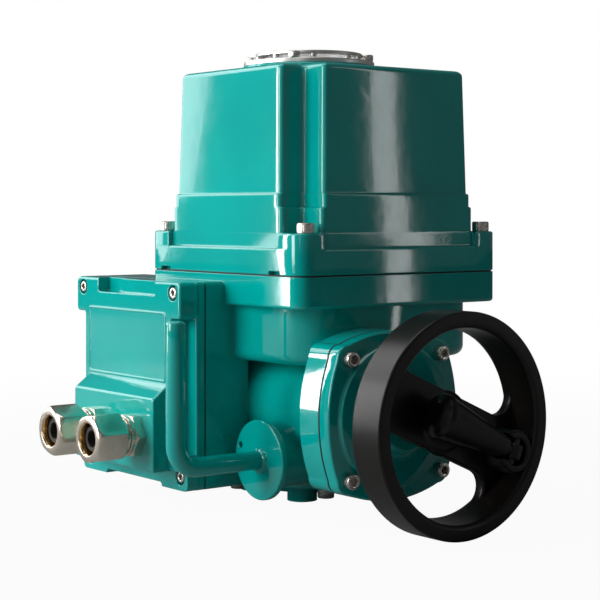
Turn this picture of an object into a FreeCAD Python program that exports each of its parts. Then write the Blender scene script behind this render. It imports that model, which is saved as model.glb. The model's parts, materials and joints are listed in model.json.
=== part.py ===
import FreeCAD, Part

import math
import os

from FreeCAD import Placement, Rotation, Vector

# Electric quarter-turn valve actuator, millimetres.
# The origin is on the output axis at the foot of the four mounting pads.
# +X runs along the worm shaft to the handwheel, -Y points out of the terminal box.

# Running and fitting gaps
running_gap = 0.05
seat_gap = 0.3
gasket_thickness = 0.8
hole_gap = 0.3

# Output interface
pad_height = 9.0
pad_radius = 9.3
bolt_circle = 70.0
mount_hole_radius = 4.0
drive_square = 17.0
drive_depth = 40.0
base_radius = 53.0
base_thickness = 12.0
base_screw_circle = 92.0
base_ring_radius = 33.0
base_ring_height = 5.0
base_screw_angle = -25.0
foot_flange = 8.0

# Square gear case with its upper bowl
case_left = -59.0
case_y = -5.0
motor_room = 52.0
flange_corner = 9.0
flange_thickness = 18.5
bowl_inset = 6.0
bowl_corner = 26.0
bowl_side_radius = 500.0
bowl_room_corner = 21.5
bowl_height = 33.5
bowl_wall = 6.5
floor_thickness = 5.0
drum_radius = 43.0
drum_bulge = 3.0
drum_bore = 31.0
drum_height = 69.0

# Top cover
band_height = 16.0
lug_height = 25.0
skirt_height = 48.0
cover_height = 124.0
skirt_inset = 3.5
body_inset = 5.2
cover_draft = 1.6
notch_x = 22.0
notch_y = 19.0
notch_step = 2.0
notch_step_height = 40.0
cover_screw_inset = 6.5
cover_wall = 5.0
cover_edge = 3.5
pry_offset = 57.0
pry_width = 10.5
pry_shift = -2.4
pry_height = 2.2

# Indicator window
window_boss_radius = 43.0
window_boss_height = 6.0
window_flange_thickness = 3.0
window_radius = 34.3
window_glass_radius = 30.0
window_opening = 27.0
window_post_height = 3.2
window_ring_thickness = 2.0
window_post_count = 8
window_screw_circle = 77.0
dial_radius = 25.0
dial_thickness = 2.0
pointer_height = 1.0

# Worm drive
worm_offset = 34.0
worm_height = 63.0
worm_module = 1.3
wheel_teeth = 40
worm_turns = 6
worm_core_margin = 3.5
wheel_width = 11.0
mesh_play = 0.35
shaft_radius = 6.0
rear_shaft_radius = 5.0
tube_radius = 33.0
flare_length = 34.0
flare_radius = 45.0
tube_bore = 24.0
worm_bore = 10.2
rear_bearing_radius = 9.5
rear_bearing_width = 6.0
mid_bearing_radius = 13.0
mid_bearing_width = 8.0
mid_bearing_end = 41.0

# Square end of the worm tube and its cap
end_face = 123.0
cap_thickness = 8.5
cap_flange_thickness = 17.0
cap_half = 42.0
cap_bulge = 6.5
cap_corner = 8.0
cap_screw_offset = 34.0
cap_ring_radius = 41.0
cap_ring_height = 2.5
cap_nose_radius = 19.0
cap_nose_length = 11.0
cap_spigot = 6.0
cap_bearing_width = 8.0

# Handwheel
wheel_radius = 62.5
wheel_face = 182.3
rim_depth = 23.5
rim_width = 9.0
web_thickness = 7.0
web_front = 165.0
web_half = 17.0
hub_radius = 13.5
hub_flare = 2.5
hub_back = 137.0
hand_shaft_radius = 7.0
hand_shaft_end = 160.0
fold_angle = -24.0
fold_distance = 43.0
fold_boss_radius = 12.0
fold_eye_radius = 7.5
fold_axis_x = 178.0
fold_pin_radius = 2.5
grip_length = 58.0
grip_dome = 7.5
grip_big_radius = 12.5
grip_small_radius = 6.2
spindle_radius = 3.0
knuckle_width = 8.0

# Clutch lever and shift gear
lever_x = 54.0
lever_z = 33.5
lever_radius = 5.6
lever_reach = 138.0
lever_rise = 84.0
lever_bend = 14.0
guard_y = -80.0
guard_radius = 23.6
guard_thickness = 4.0
guard_hole_radius = 1.8
guard_hole_distance = 19.5
guard_hole_angle = 20.5
boss_radius = 17.0
boss_front = -72.0
boss_back = -20.0
shift_throw = 4.0
shift_pin_radius = 2.0
sleeve_radius = 14.0
sleeve_length = 17.0
groove_width = 4.4
groove_depth = 3.0
dog_length = 5.0
dog_gap = 1.0

# Spur gear train and motor
spur_module = 1.0
worm_spur_teeth = 44
idler_small_teeth = 16
idler_large_teeth = 36
motor_pinion_teeth = 14
spur_width = 5.0
spur_play = 0.3
chamber_back = -46.0
chamber_wall = 5.0
plate_thickness = 3.0
plate_face = -27.0
rear_wall = 9.0
motor_radius = 22.5
motor_length = 80.0
motor_bell = 10.0
motor_spigot = 9.0
motor_shaft_radius = 3.0

# Terminal box
box_left = -88.0
box_right = 16.5
box_top = 131.0
box_bottom = 21.5
box_stand = 32.1
box_edge = 8.0
box_corner = 3.0
box_top_edge = 6.5
box_lug_height = 22.0
box_side_inset = 10.3
lid_flange = 6.2
box_foot_left = 28.5
box_foot_right = 28.0
box_foot_rise = 2.5
lid_depth = 17.8
box_depth = 31.0
box_wall = 5.5
hood_reach = 11.0
hood_top = 76.5
hood_slope = 8.2
hood_bottom = 24.8
hood_right = 12.5
hood_left = -79.5
lower_setback = 5.4
pocket_left = -69.0
pocket_middle = -45.0
pocket_right = -3.0
pocket_height = 8.7
pocket_deep = 8.0
pocket_shallow = 3.0

# Cable glands
gland_x = -8.0
gland_spacing = 45.0
gland_z = 45.5
gland_thread_radius = 9.5
gland_hex = 27.0
gland_locknut_hex = 22.5
gland_base_hex = 24.0
gland_body_turn = 0.0
gland_nut_turns = [48.0, 22.0]
gland_hex_width = 6.0
gland_neck = 9.5
gland_nut_lap = 2.5
gland_collar = 3.0
gland_collar_radius = 12.2
gland_cap = 17.5
gland_shoulder = 4.0
gland_neck_radius = 10.5
gland_bore = 5.0
gland_seal_length = 7.5
gland_mouth = 9.5

# Screws: shank radius, head radius, head height, socket width across flats
m4 = (2.0, 3.5, 4.0, 3.0)
m5 = (2.5, 4.4, 5.0, 4.0)
m6 = (3.0, 5.1, 6.0, 5.0)

# Inside the cover
indicator_shaft_radius = 5.0
cam_radius = 17.0
cam_thickness = 5.0
cam_drop = 3.0
cam_gap = 15.5
switch_length = 26.0
switch_width = 10.0
switch_depth = 15.0
deck_gap = 17.5
deck_room = 14.0
post_inset = 7.0
deck_thickness = 2.5
feedback_module = 1.0
feedback_drive_teeth = 30
feedback_teeth = 20
capacitor_radius = 13.0
capacitor_length = 46.0
wall_room = 11.0
board_half = 34.0
board_width = 28.0
stop_bolt_radius = 4.0
stop_bolt_length = 33.0
stop_bolt_tip = 20.0
stop_bolt_side = 14.0
stop_bolt_rise = 20.0
stop_lug_radius = 28.0
plunger_radius = 1.6
plunger_travel = 1.5

# Levels worked out from the sizes above
cavity_half = (motor_length + motor_room) / 2
flange_half = cavity_half + bowl_wall + bowl_inset
case_x = case_left + flange_half
box_face = case_y - flange_half - box_stand
base_top = pad_height + base_thickness
bowl_bottom = base_top + drum_height
flange_bottom = bowl_bottom + bowl_height
parting = flange_bottom + flange_thickness
cover_base = parting + gasket_thickness
cover_top = parting + cover_height
cavity_floor = bowl_bottom + floor_thickness
cap_back = end_face - cap_thickness
flange_face = cap_back - gasket_thickness
wheel_pitch = worm_module * wheel_teeth / 2
worm_pitch = worm_offset - wheel_pitch
axial_pitch = math.pi * worm_module
worm_length = worm_turns * axial_pitch + 2 * worm_core_margin
stop_bolt_z = base_top + stop_bolt_rise
idler_z = worm_height + spur_module * (worm_spur_teeth + idler_small_teeth) / 2
motor_z = idler_z + spur_module * (idler_large_teeth + motor_pinion_teeth) / 2
deck_height = motor_z + motor_radius + deck_gap
cam_height = deck_height + deck_thickness + cam_gap
lid_back = box_face + lid_depth
box_front = lid_back + gasket_thickness
box_back = box_front + box_depth
feedback_z = deck_height + deck_thickness + 4
feedback_distance = feedback_module * (feedback_drive_teeth + feedback_teeth) / 2

X = Vector(1, 0, 0)
Y = Vector(0, 1, 0)
Z = Vector(0, 0, 1)


def box(x0, x1, y0, y1, z0, z1):
    return Part.makeBox(x1 - x0, y1 - y0, z1 - z0, Vector(x0, y0, z0))


def rod(radius, start, end):
    start = Vector(*start)
    along = Vector(*end) - start
    return Part.makeCylinder(radius, along.Length, start, along)


def cone(radius_a, radius_b, start, end):
    start = Vector(*start)
    along = Vector(*end) - start
    return Part.makeCone(radius_a, radius_b, along.Length, start, along)


def tube(outer, inner, start, end):
    return rod(outer, start, end).cut(rod(inner, start, end))


def polygon(points):
    points = [Vector(*p) for p in points]
    return Part.Face(Part.makePolygon(points + points[:1]))


def rounded_box(x0, x1, y0, y1, z0, z1, radius):
    # Upright block with four round corners.
    solid = box(x0, x1, y0, y1, z0, z1)
    edges = [e for e in solid.Edges if abs(e.tangentAt(e.FirstParameter).z) > 0.9]
    return solid.makeFillet(radius, edges)


def square_block(half, z0, z1, radius):
    # A rounded square block about the axis of the gear case.
    return rounded_box(case_x - half, case_x + half, case_y - half, case_y + half, z0, z1, radius)


def soften(solid, radius, pick):
    # Rounds the picked edges, or leaves the solid as it is where there are none.
    edges = [e for e in solid.Edges if pick(e)]
    return solid.makeFillet(radius, edges) if edges else solid


def level_edge(z, tolerance=0.01):
    return lambda e: abs(e.BoundBox.ZMin - z) < tolerance and abs(e.BoundBox.ZMax - z) < tolerance


def fuse(first, *others):
    return first.multiFuse(list(others)).removeSplitter()


def cut(first, *others):
    return first.cut(Part.makeCompound(list(others)))


def hexagon(flats, start, end):
    # Hexagonal bar between two points.
    start = Vector(*start)
    along = Vector(*end) - start
    corner = flats / math.sqrt(3)
    points = [Vector(corner * math.cos(math.radians(60 * i)), corner * math.sin(math.radians(60 * i)), 0)
              for i in range(6)]
    bar = Part.Face(Part.makePolygon(points + points[:1])).extrude(Vector(0, 0, along.Length))
    bar.Placement = Placement(start, Rotation(Z, along))
    return bar


def socket_screw(size, seat, inward, grip):
    # Cylinder-head screw with a hexagon socket; seat is the point under the head, on the axis.
    shank, head, height, flats = size
    inward = Vector(*inward)
    seat = Vector(*seat)
    top = seat - inward * height
    tip = seat + inward * grip
    body = fuse(rod(head, seat, top), rod(shank, seat, tip))
    return body.cut(hexagon(flats, top, top + inward * (height * 0.6)))


def screw_hole(size, seat, inward, grip):
    # Room for a screw's shank in what it goes through.
    inward = Vector(*inward)
    seat = Vector(*seat)
    return rod(size[0] + running_gap, seat, seat + inward * (grip + 1.0))


def gear_blank(teeth, module, play, phase=0.0):
    # Outline of a spur gear about the origin, each tooth with straight flanks.
    pitch = module * teeth / 2
    root = pitch - 1.25 * module
    tip = pitch + module * 0.9
    step = 2 * math.pi / teeth
    half_pitch = (math.pi * module / 2 - play) / (2 * pitch)
    half_root = half_pitch * 1.45
    half_tip = half_pitch * 0.5
    points = []
    for i in range(teeth):
        middle = i * step + phase
        for radius, angle in ((root, -half_root), (tip, -half_tip), (tip, half_tip), (root, half_root)):
            points.append((radius * math.cos(middle + angle), radius * math.sin(middle + angle), 0))
    return points


def spur_gear(teeth, module, width, bore, centre, along, phase=0.0, play=spur_play):
    gear = polygon(gear_blank(teeth, module, play, phase)).extrude(Vector(0, 0, width))
    gear = gear.cut(Part.makeCylinder(bore, width))
    turn = Rotation(Y, Z, X) if along is X else Rotation()
    gear.Placement = Placement(Vector(*centre), turn)
    return gear


def bearing(outer, inner, start, end):
    # Ball bearing with its two rings, the balls between them and a side shield on each face.
    middle = (outer + inner) / 2
    ball = (outer - inner) * 0.26
    outer_ring = tube(outer, middle + ball * 0.6, start, end)
    inner_ring = tube(middle - ball * 0.6, inner, start, end)
    web = tube(middle + ball * 0.6, middle - ball * 0.6,
               Vector(*start) + (Vector(*end) - Vector(*start)) * 0.12,
               Vector(*start) + (Vector(*end) - Vector(*start)) * 0.88)
    return fuse(outer_ring, inner_ring, web)


def corners(dx, dy):
    return [(sx * dx, sy * dy) for sx in (-1, 1) for sy in (-1, 1)]


def ring_points(radius, count, first_angle):
    return [(radius * math.cos(math.radians(first_angle + 360 * i / count)),
             radius * math.sin(math.radians(first_angle + 360 * i / count))) for i in range(count)]


# Screw places
base_screws = ring_points(base_screw_circle / 2, 4, base_screw_angle)
mount_holes = ring_points(bolt_circle / 2, 4, 45)
cover_screw_dx = flange_half - cover_screw_inset
cover_screw_dy = flange_half - notch_y / 2
cover_screws = [(case_x + dx, case_y + dy) for dx, dy in corners(cover_screw_dx, cover_screw_dy)]
cap_screws = [(-worm_offset + dy, worm_height + dz) for dy, dz in corners(cap_screw_offset, cap_screw_offset)]
box_screws = [(box_left, box_bottom, lower_setback), (box_right, box_bottom, lower_setback),
              (box_left, box_top, 0.0), (box_right, box_top, 0.0)]
window_screws = ring_points(window_screw_circle / 2, 4, -52.0)
gland_places = [gland_x, gland_x - gland_spacing]
cover_screw_grip = lug_height + 12.0
cap_screw_grip = cap_thickness + 12.0
box_screw_grip = lid_depth + 10.0
base_screw_grip = base_thickness + foot_flange - 1.0


def square_end(x0, x1):
    # Square plate with bulging sides and round corners, across the worm tube.
    half = cap_half
    reach = cap_half + cap_bulge
    inner = cap_half - cap_corner
    slope = cap_corner * (1 - math.sqrt(0.5))
    y = -worm_offset
    z = worm_height
    edges = []
    for turn in range(4):
        spin = math.radians(90 * turn)

        def place(a, b):
            return Vector(x0, y + a * math.cos(spin) - b * math.sin(spin), z + a * math.sin(spin) + b * math.cos(spin))

        edges.append(Part.Arc(place(half, -inner), place(reach, 0), place(half, inner)).toShape())
        edges.append(Part.Arc(place(half, inner), place(half - slope, half - slope), place(inner, half)).toShape())
    return Part.Face(Part.Wire(edges)).extrude(Vector(x1 - x0, 0, 0))


def box_outline(inset, front, back):
    # Rounded rectangle of the terminal box, seen from the front, with its underside raised between two feet.
    low = box_bottom - box_edge
    solid = rounded_prism(box_left - box_edge + inset, box_right + box_edge - inset, low + inset,
                          box_top + box_top_edge - inset, front, back, box_corner)
    waist = rounded_prism(box_left - box_edge + box_foot_left, box_right + box_edge - box_foot_right, low - 4,
                          low + box_foot_rise + inset, front - 1, back + 1, 2.0)
    return solid.cut(waist)


def lid_outline(front, back):
    # Front of the lid: the same rectangle with its sides drawn in between the screw lugs.
    left = box_left - box_edge
    right = box_right + box_edge
    low = box_bottom - box_edge
    high = box_top + box_top_edge
    solid = box_outline(0, front, back)
    waists = []
    for outer, inner in ((left - 1, left + box_side_inset), (right + 1, right - box_side_inset)):
        waists.append(rounded_prism(min(outer, inner), max(outer, inner), low + box_lug_height, high - box_lug_height,
                                    front - 1, back + 1, 2.0))
    return cut(solid, *waists)


def box_inner(front, back):
    # The space inside the terminal box and its lid.
    return rounded_prism(box_left - box_edge + box_side_inset + box_wall,
                         box_right + box_edge - box_side_inset - box_wall,
                         box_bottom + box_edge, box_top - box_edge, front, back, 5.0)


def rounded_prism(x0, x1, z0, z1, y0, y1, radius):
    # Block along Y with its four long edges rounded.
    solid = box(x0, x1, y0, y1, z0, z1)
    edges = [e for e in solid.Edges if abs(e.tangentAt(e.FirstParameter).y) > 0.9]
    return solid.makeFillet(radius, edges)


def barrel(radius, bulge, z0, z1):
    # Drum whose wall swells by a little at mid height.
    middle = (z0 + z1) / 2
    wall = Part.Arc(Vector(radius - bulge, 0, z0), Vector(radius, 0, middle), Vector(radius - bulge, 0, z1))
    edges = [Part.makeLine(Vector(0, 0, z0), Vector(radius - bulge, 0, z0)), wall.toShape(),
             Part.makeLine(Vector(radius - bulge, 0, z1), Vector(0, 0, z1)),
             Part.makeLine(Vector(0, 0, z1), Vector(0, 0, z0))]
    return Part.Face(Part.Wire(edges)).revolve(Vector(0, 0, 0), Z, 360)


# Radii and places shared by the housing and what fits in it
rear_bearing_x = plate_face + 1.0
mid_bearing_x = mid_bearing_end - mid_bearing_width
sleeve_outer = 17.0
journal_radius = 10.0
bush_wall = 3.0
chamber_half = spur_module * worm_spur_teeth / 2 + 4.0
lever_bush_radius = lever_radius + 3.0
shift_pocket = 11.0
shift_start = lever_x - shift_throw * math.sqrt(0.5)
shift_travel = 2 * shift_throw * math.sqrt(0.5)
sleeve_x = shift_start - sleeve_length / 2


def trumpet(x0, x1):
    # Worm tube's end, which swells in a long curve to the square flange.
    y = -worm_offset
    z = worm_height
    wall = Part.Arc(Vector(x0, y + tube_radius, z), Vector(x0 + (x1 - x0) * 0.62, y + tube_radius + (flare_radius - tube_radius) * 0.36, z),
                    Vector(x1, y + flare_radius, z))
    edges = [Part.makeLine(Vector(x0, y, z), Vector(x0, y + tube_radius, z)), wall.toShape(),
             Part.makeLine(Vector(x1, y + flare_radius, z), Vector(x1, y, z)), Part.makeLine(Vector(x1, y, z), Vector(x0, y, z))]
    return Part.Face(Part.Wire(edges)).revolve(Vector(x0, y, z), X, 360)


def main_housing():
    y = -worm_offset
    z = worm_height
    flange = square_block(flange_half, flange_bottom, parting, flange_corner)
    flange = soften(flange, 2.0, level_edge(flange_bottom))
    bowl = bulged_block(flange_half - bowl_inset, bowl_bottom, flange_bottom + 1, bowl_corner)
    bowl = soften(bowl, 6.0, level_edge(bowl_bottom))
    drum = barrel(drum_radius, drum_bulge, base_top, bowl_bottom + 2)
    foot = rod(base_radius, (0, 0, base_top), (0, 0, base_top + foot_flange))
    foot = soften(foot, 2.0, level_edge(base_top + foot_flange))
    tube_body = rod(tube_radius, (0, y, z), (flange_face, y, z))
    flange_start = flange_face - cap_flange_thickness
    flare = trumpet(flange_start - flare_length, flange_start + 1)
    plate = square_end(flange_start, flange_face)
    chamber = rounded_box(chamber_back - chamber_wall, plate_face + rear_wall + 14, y - chamber_half - chamber_wall,
                          y + chamber_half + chamber_wall, z - chamber_half - chamber_wall, bowl_bottom + 2, 6.0)
    terminal = box_outline(0, box_front, box_back)
    link = box(chamber_back - chamber_wall, box_right - 4, box_back - 2, -worm_offset, worm_height - 20, bowl_bottom + 4)
    boss = rod(boss_radius, (lever_x, boss_front, lever_z), (lever_x, boss_back, lever_z))
    stops = [rod(8.5, (x, drum_bore - 4, stop_bolt_z), (x, drum_radius + 1, stop_bolt_z))
             for x in (-stop_bolt_side, stop_bolt_side)]
    shell = fuse(flange, bowl, drum, foot, *stops, tube_body, flare, plate, chamber, terminal, link, boss)
    upper = square_block(cavity_half, cavity_floor, parting, bowl_room_corner)
    drum_room = rod(drum_bore, (0, 0, base_top), (0, 0, bowl_bottom - 6))
    chamber_room = box(chamber_back, plate_face, y - chamber_half, y + chamber_half, z - chamber_half, cavity_floor + 1)
    terminal_room = box_inner(box_front, box_back - box_wall)
    wire_way = rod(7.0, (chamber_back + 10, box_back - box_wall - 1, bowl_bottom - 8),
                   (chamber_back + 10, -worm_offset - chamber_half + 1, bowl_bottom - 8))
    rooms = [upper, drum_room, chamber_room, terminal_room, wire_way,
             rod(journal_radius + bush_wall, (0, 0, bowl_bottom - 7), (0, 0, cavity_floor + 1)),
             rod(worm_bore, (plate_face + rear_bearing_width, y, z), (mid_bearing_x + 1, y, z)),
             rod(rear_bearing_radius, (plate_face - 1, y, z), (rear_bearing_x + rear_bearing_width, y, z)),
             rod(mid_bearing_radius, (mid_bearing_x, y, z), (mid_bearing_end + 1, y, z)),
             rod(tube_bore, (mid_bearing_end, y, z), (flange_face + 1, y, z)),
             rod(lever_bush_radius, (lever_x, boss_front - 1, lever_z), (lever_x, boss_front + 15, lever_z)),
             rod(shift_pocket, (lever_x, boss_front + 14, lever_z), (lever_x, boss_back - 6, lever_z)),
             box(shift_start - 7, shift_start + shift_travel + 7, boss_front + 17, -worm_offset, lever_z, worm_height),
             rod(base_radius + seat_gap, (0, 0, 0), (0, 0, base_top))]
    rooms += [rod(stop_bolt_radius, (x, 0, stop_bolt_z), (x, drum_radius + 2, stop_bolt_z))
              for x in (-stop_bolt_side, stop_bolt_side)]
    rooms += [screw_hole(m6, (px, py, base_top), (0, 0, 1), foot_flange) for px, py in base_screws]
    rooms += [screw_hole(m6, (px, py, parting), (0, 0, -1), 12.0) for px, py in cover_screws]
    rooms += [screw_hole(m5, (flange_face, py, pz), (-1, 0, 0), 12.0) for py, pz in cap_screws]
    rooms += [screw_hole(m4, (px, box_front, pz), (0, 1, 0), 10.0) for px, pz, setback in box_screws]
    rooms += [screw_hole(m4, (plate_face, y + dy, bowl_bottom - 4), (1, 0, 0), 5.0) for dy in (-14, 14)]
    return cut(shell, *rooms)


def base_plate():
    # Bottom plate with the four mounting pads; the pads carry the threaded mounting holes.
    plate = rod(base_radius, (0, 0, pad_height), (0, 0, base_top))
    plate = soften(plate, 1.5, level_edge(pad_height))
    pads = [rod(pad_radius, (px, py, 0), (px, py, pad_height + 1)) for px, py in mount_holes]
    web = tube(base_ring_radius, base_ring_radius - 6.0, (0, 0, pad_height - base_ring_height), (0, 0, pad_height + 1))
    holes = [rod(mount_hole_radius, (px, py, -1), (px, py, base_top - 3)) for px, py in mount_holes]
    holes += [rod(m6[0] + hole_gap, (px, py, pad_height - 1), (px, py, base_top + 1)) for px, py in base_screws]
    holes.append(rod(sleeve_outer + bush_wall, (0, 0, pad_height - 4), (0, 0, base_top + 1)))
    return cut(fuse(plate, web, *pads), *holes)


def cover_block(inset, z0, z1):
    return square_block(flange_half - inset, z0, z1, flange_corner)


def top_cover():
    band = cover_block(0, cover_base, parting + band_height)
    skirt = cover_block(skirt_inset, cover_base, parting + skirt_height)
    body = drafted(body_inset, body_inset + cover_draft, parting + skirt_height - 1, cover_top)
    notches = []
    for sx, sy in corners(1, 1):
        corner_x = case_x + sx * (flange_half + 2)
        corner_y = case_y + sy * (flange_half + 2)
        for extra, low, high in ((0, lug_height, notch_step_height), (notch_step, notch_step_height, cover_height + 1)):
            inner_x = case_x + sx * (flange_half - notch_x - extra)
            inner_y = case_y + sy * (flange_half - notch_y - extra)
            notches.append(box(min(corner_x, inner_x), max(corner_x, inner_x), min(corner_y, inner_y),
                               max(corner_y, inner_y), parting + low, parting + high))
    shell = fuse(skirt, body)
    shell = soften(shell, cover_edge, level_edge(cover_top))
    shell = cut(shell, *notches)
    lugs = []
    for sx, sy in corners(1, 1):
        far_x = case_x + sx * flange_half
        far_y = case_y + sy * flange_half
        near_x = case_x + sx * (flange_half - notch_x)
        near_y = case_y + sy * (flange_half - notch_y)
        lugs.append(rounded_box(min(far_x, near_x), max(far_x, near_x), min(far_y, near_y), max(far_y, near_y),
                                cover_base, parting + lug_height, 2.0))
    shape = square_block(flange_half, cover_base, parting + lug_height, flange_corner)
    lugs = [lug.common(shape) for lug in lugs]
    boss = rod(window_boss_radius, (0, 0, cover_top - 2), (0, 0, cover_top + window_boss_height))
    boss = soften(boss, 1.5, level_edge(cover_top + window_boss_height))
    outer = fuse(band, shell, boss, *lugs)
    room_half_x = flange_half - notch_x - notch_step - cover_wall
    room_half_y = flange_half - notch_y - notch_step - cover_wall
    wide = flange_half - skirt_inset - cover_wall - 3
    room = fuse(box(case_x - room_half_x, case_x + room_half_x, case_y - wide, case_y + wide, cover_base - 1,
                    cover_top - cover_wall),
                box(case_x - wide, case_x + wide, case_y - room_half_y, case_y + room_half_y, cover_base - 1,
                    cover_top - cover_wall))
    cuts = [room, rod(window_opening, (0, 0, cover_top - cover_wall - 1), (0, 0, cover_top + window_boss_height + 1))]
    cuts += [rod(m6[0] + hole_gap, (px, py, cover_base - 1), (px, py, parting + lug_height + 1))
             for px, py in cover_screws]
    cuts += [screw_hole(m4, (px, py, cover_top + window_boss_height), (0, 0, -1), 5.0) for px, py in window_screws]
    front = case_y - flange_half
    for px in (case_x + pry_shift - pry_offset, case_x + pry_shift + pry_offset):
        cuts.append(box(px - pry_width / 2, px + pry_width / 2, front - 1, front + 4, cover_base - 1,
                        cover_base + pry_height))
    return cut(outer, *cuts)


def bulged_block(half, z0, z1, corner):
    # Square block about the axis of the gear case, with slightly arched sides and round corners.
    reach = bowl_side_radius - half
    gap = bowl_side_radius - corner
    k = (math.sqrt(2 * gap ** 2 - reach ** 2) - reach) / 2
    along = Vector(k + reach, k, 0).normalize() * bowl_side_radius
    joint = Vector(along.x - reach, along.y, 0)
    diagonal = k + corner * math.sqrt(0.5)
    edges = []
    for turn in range(4):
        points = [Vector(joint.x, -joint.y, 0), Vector(half, 0, 0), joint, Vector(diagonal, diagonal, 0), Vector(joint.y, joint.x, 0)]
        points = [Rotation(Z, 90 * turn).multVec(p) + Vector(case_x, case_y, z0) for p in points]
        edges.append(Part.Arc(points[0], points[1], points[2]).toShape())
        edges.append(Part.Arc(points[2], points[3], points[4]).toShape())
    return Part.Face(Part.Wire(edges)).extrude(Vector(0, 0, z1 - z0))


def drafted(inset_low, inset_high, z0, z1):
    # Square body that narrows a little towards its top.
    faces = []
    for inset, z in ((inset_low, z0), (inset_high, z1)):
        slab = square_block(flange_half - inset, z, z + 1, flange_corner)
        bottom = min(slab.Faces, key=lambda f: f.CenterOfMass.z)
        faces.append(bottom.OuterWire)
    return Part.makeLoft(faces, True, True)


def case_gasket():
    outer = square_block(flange_half - 1.0, parting, cover_base, flange_corner - 1.0)
    inner = square_block(cavity_half, parting - 1, cover_base + 1, bowl_room_corner)
    holes = [rod(m6[0] + hole_gap, (px, py, parting - 1), (px, py, cover_base + 1)) for px, py in cover_screws]
    return cut(outer, inner, *holes)


def window_glass():
    low = cover_top + window_boss_height + window_flange_thickness - 1.5
    high = cover_top + window_boss_height + window_flange_thickness + window_post_height
    lower = rod(window_glass_radius - running_gap, (0, 0, low), (0, 0, high))
    return soften(lower, 0.8, level_edge(high))


def window_ring():
    # Clamp ring: a screwed flange, short posts and the rim that holds the glass down.
    low = cover_top + window_boss_height
    high = low + window_flange_thickness
    flange = tube(window_boss_radius - 1.0, window_opening, (0, 0, low), (0, 0, high))
    flange = soften(flange, 0.8, lambda e: level_edge(high)(e) and e.Length > 2 * math.pi * window_radius)
    seat = rod(window_glass_radius, (0, 0, high - 1.5), (0, 0, high + 1))
    holes = [rod(m4[0] + hole_gap, (px, py, low - 1), (px, py, high + 1)) for px, py in window_screws]
    flange = cut(flange, seat, *holes)
    rim_low = high + window_post_height
    middle = (window_radius + window_glass_radius) / 2
    posts = [rod(1.9, (px, py, high - 0.5), (px, py, rim_low + 0.5)) for px, py in ring_points(middle, window_post_count, 12.0)]
    rim = tube(window_radius, window_opening, (0, 0, rim_low), (0, 0, rim_low + window_ring_thickness))
    rim = soften(rim, 0.6, level_edge(rim_low + window_ring_thickness))
    return fuse(flange, rim, *posts)


def terminal_lid():
    body = fuse(lid_outline(box_face, lid_back - lid_flange + 0.5), box_outline(0, lid_back - lid_flange, lid_back))
    front_low = box(box_left - 20, box_right + 20, box_face - 1, box_face + lower_setback,
                    box_bottom - 20, hood_bottom - 1)
    body = body.cut(front_low)
    hood_front = box_face - hood_reach
    profile = [(hood_left, box_face + 1, hood_top), (hood_left, hood_front, hood_top - hood_slope),
               (hood_left, hood_front, hood_bottom), (hood_left, box_face + lower_setback + 1, hood_bottom)]
    hood = polygon(profile).extrude(Vector(hood_right - hood_left, 0, 0))
    hood = soften(hood, 1.5, lambda e: abs(e.CenterOfMass.y - hood_front) < 0.01)
    frame_left = box_left + 8.2
    frame_right = box_right - 8.0
    frame_low = hood_top + 1.5
    frame_high = box_top - 12.5
    rim = box(frame_left, frame_right, box_face - 0.8, box_face + 1, frame_low, frame_high).cut(
        box(frame_left + 1.2, frame_right - 1.2, box_face - 2, box_face + 2, frame_low + 1.2, frame_high - 1.2))
    body = fuse(body, hood, rim)
    cuts = [box_inner(box_face + box_wall, lid_back + 1)]
    room = box(hood_left + box_wall, hood_right - box_wall, hood_front + box_wall, box_face + box_wall + 1,
               hood_bottom + 5, hood_top - hood_slope - 3)
    cuts.append(room)
    for px, pz, setback in box_screws:
        seat = box_face + setback + m4[2]
        cuts.append(rod(m4[1] + 1.2, (px, box_face - 1, pz), (px, seat, pz)))
        cuts.append(rod(m4[0] + hole_gap, (px, box_face - 1, pz), (px, lid_back + 1, pz)))
    for px in gland_places:
        cuts.append(rod(gland_thread_radius, (px, hood_front - 1, gland_z), (px, hood_front + box_wall + 1, gland_z)))
    high = box_top + box_top_edge
    cuts.append(box(pocket_left, pocket_middle, box_face - 1, box_face + pocket_deep, high - pocket_height, high + 1))
    cuts.append(box(pocket_middle - 1, pocket_right, box_face - 1, box_face + pocket_shallow, high - pocket_height, high + 1))
    return cut(body, *cuts)


def box_gasket():
    outer = box_outline(1.0, lid_back, box_front)
    holes = [rod(m4[0] + hole_gap, (px, lid_back - 1, pz), (px, box_front + 1, pz)) for px, pz, setback in box_screws]
    return cut(outer, box_inner(lid_back - 1, box_front + 1), *holes)


def end_cap():
    y = -worm_offset
    z = worm_height
    plate = square_end(cap_back, end_face)
    ring = rod(cap_ring_radius, (end_face - 1, y, z), (end_face + cap_ring_height, y, z))
    nose = cone(cap_nose_radius + 3, cap_nose_radius, (end_face, y, z), (end_face + cap_nose_length, y, z))
    spigot = rod(tube_bore - running_gap, (cap_back - cap_spigot, y, z), (cap_back + 1, y, z))
    cuts = [rod(hand_shaft_radius + running_gap * 2, (cap_back - cap_spigot - 1, y, z), (end_face + cap_nose_length + 1, y, z)),
            rod(mid_bearing_radius, (cap_back - cap_spigot - 1, y, z), (cap_back - cap_spigot + cap_bearing_width, y, z)),
            rod(hand_shaft_radius + 4, (end_face + cap_nose_length - 5, y, z), (end_face + cap_nose_length + 1, y, z))]
    cuts += [rod(m5[0] + hole_gap, (cap_back - 1, py, pz), (end_face + 1, py, pz)) for py, pz in cap_screws]
    return cut(fuse(plate, ring, nose, spigot), *cuts)


def end_gasket():
    y = -worm_offset
    z = worm_height
    plate = square_end(flange_face, cap_back)
    cuts = [rod(tube_bore, (flange_face - 1, y, z), (cap_back + 1, y, z))]
    cuts += [rod(m5[0] + hole_gap, (flange_face - 1, py, pz), (cap_back + 1, py, pz)) for py, pz in cap_screws]
    return cut(plate, *cuts)


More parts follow.
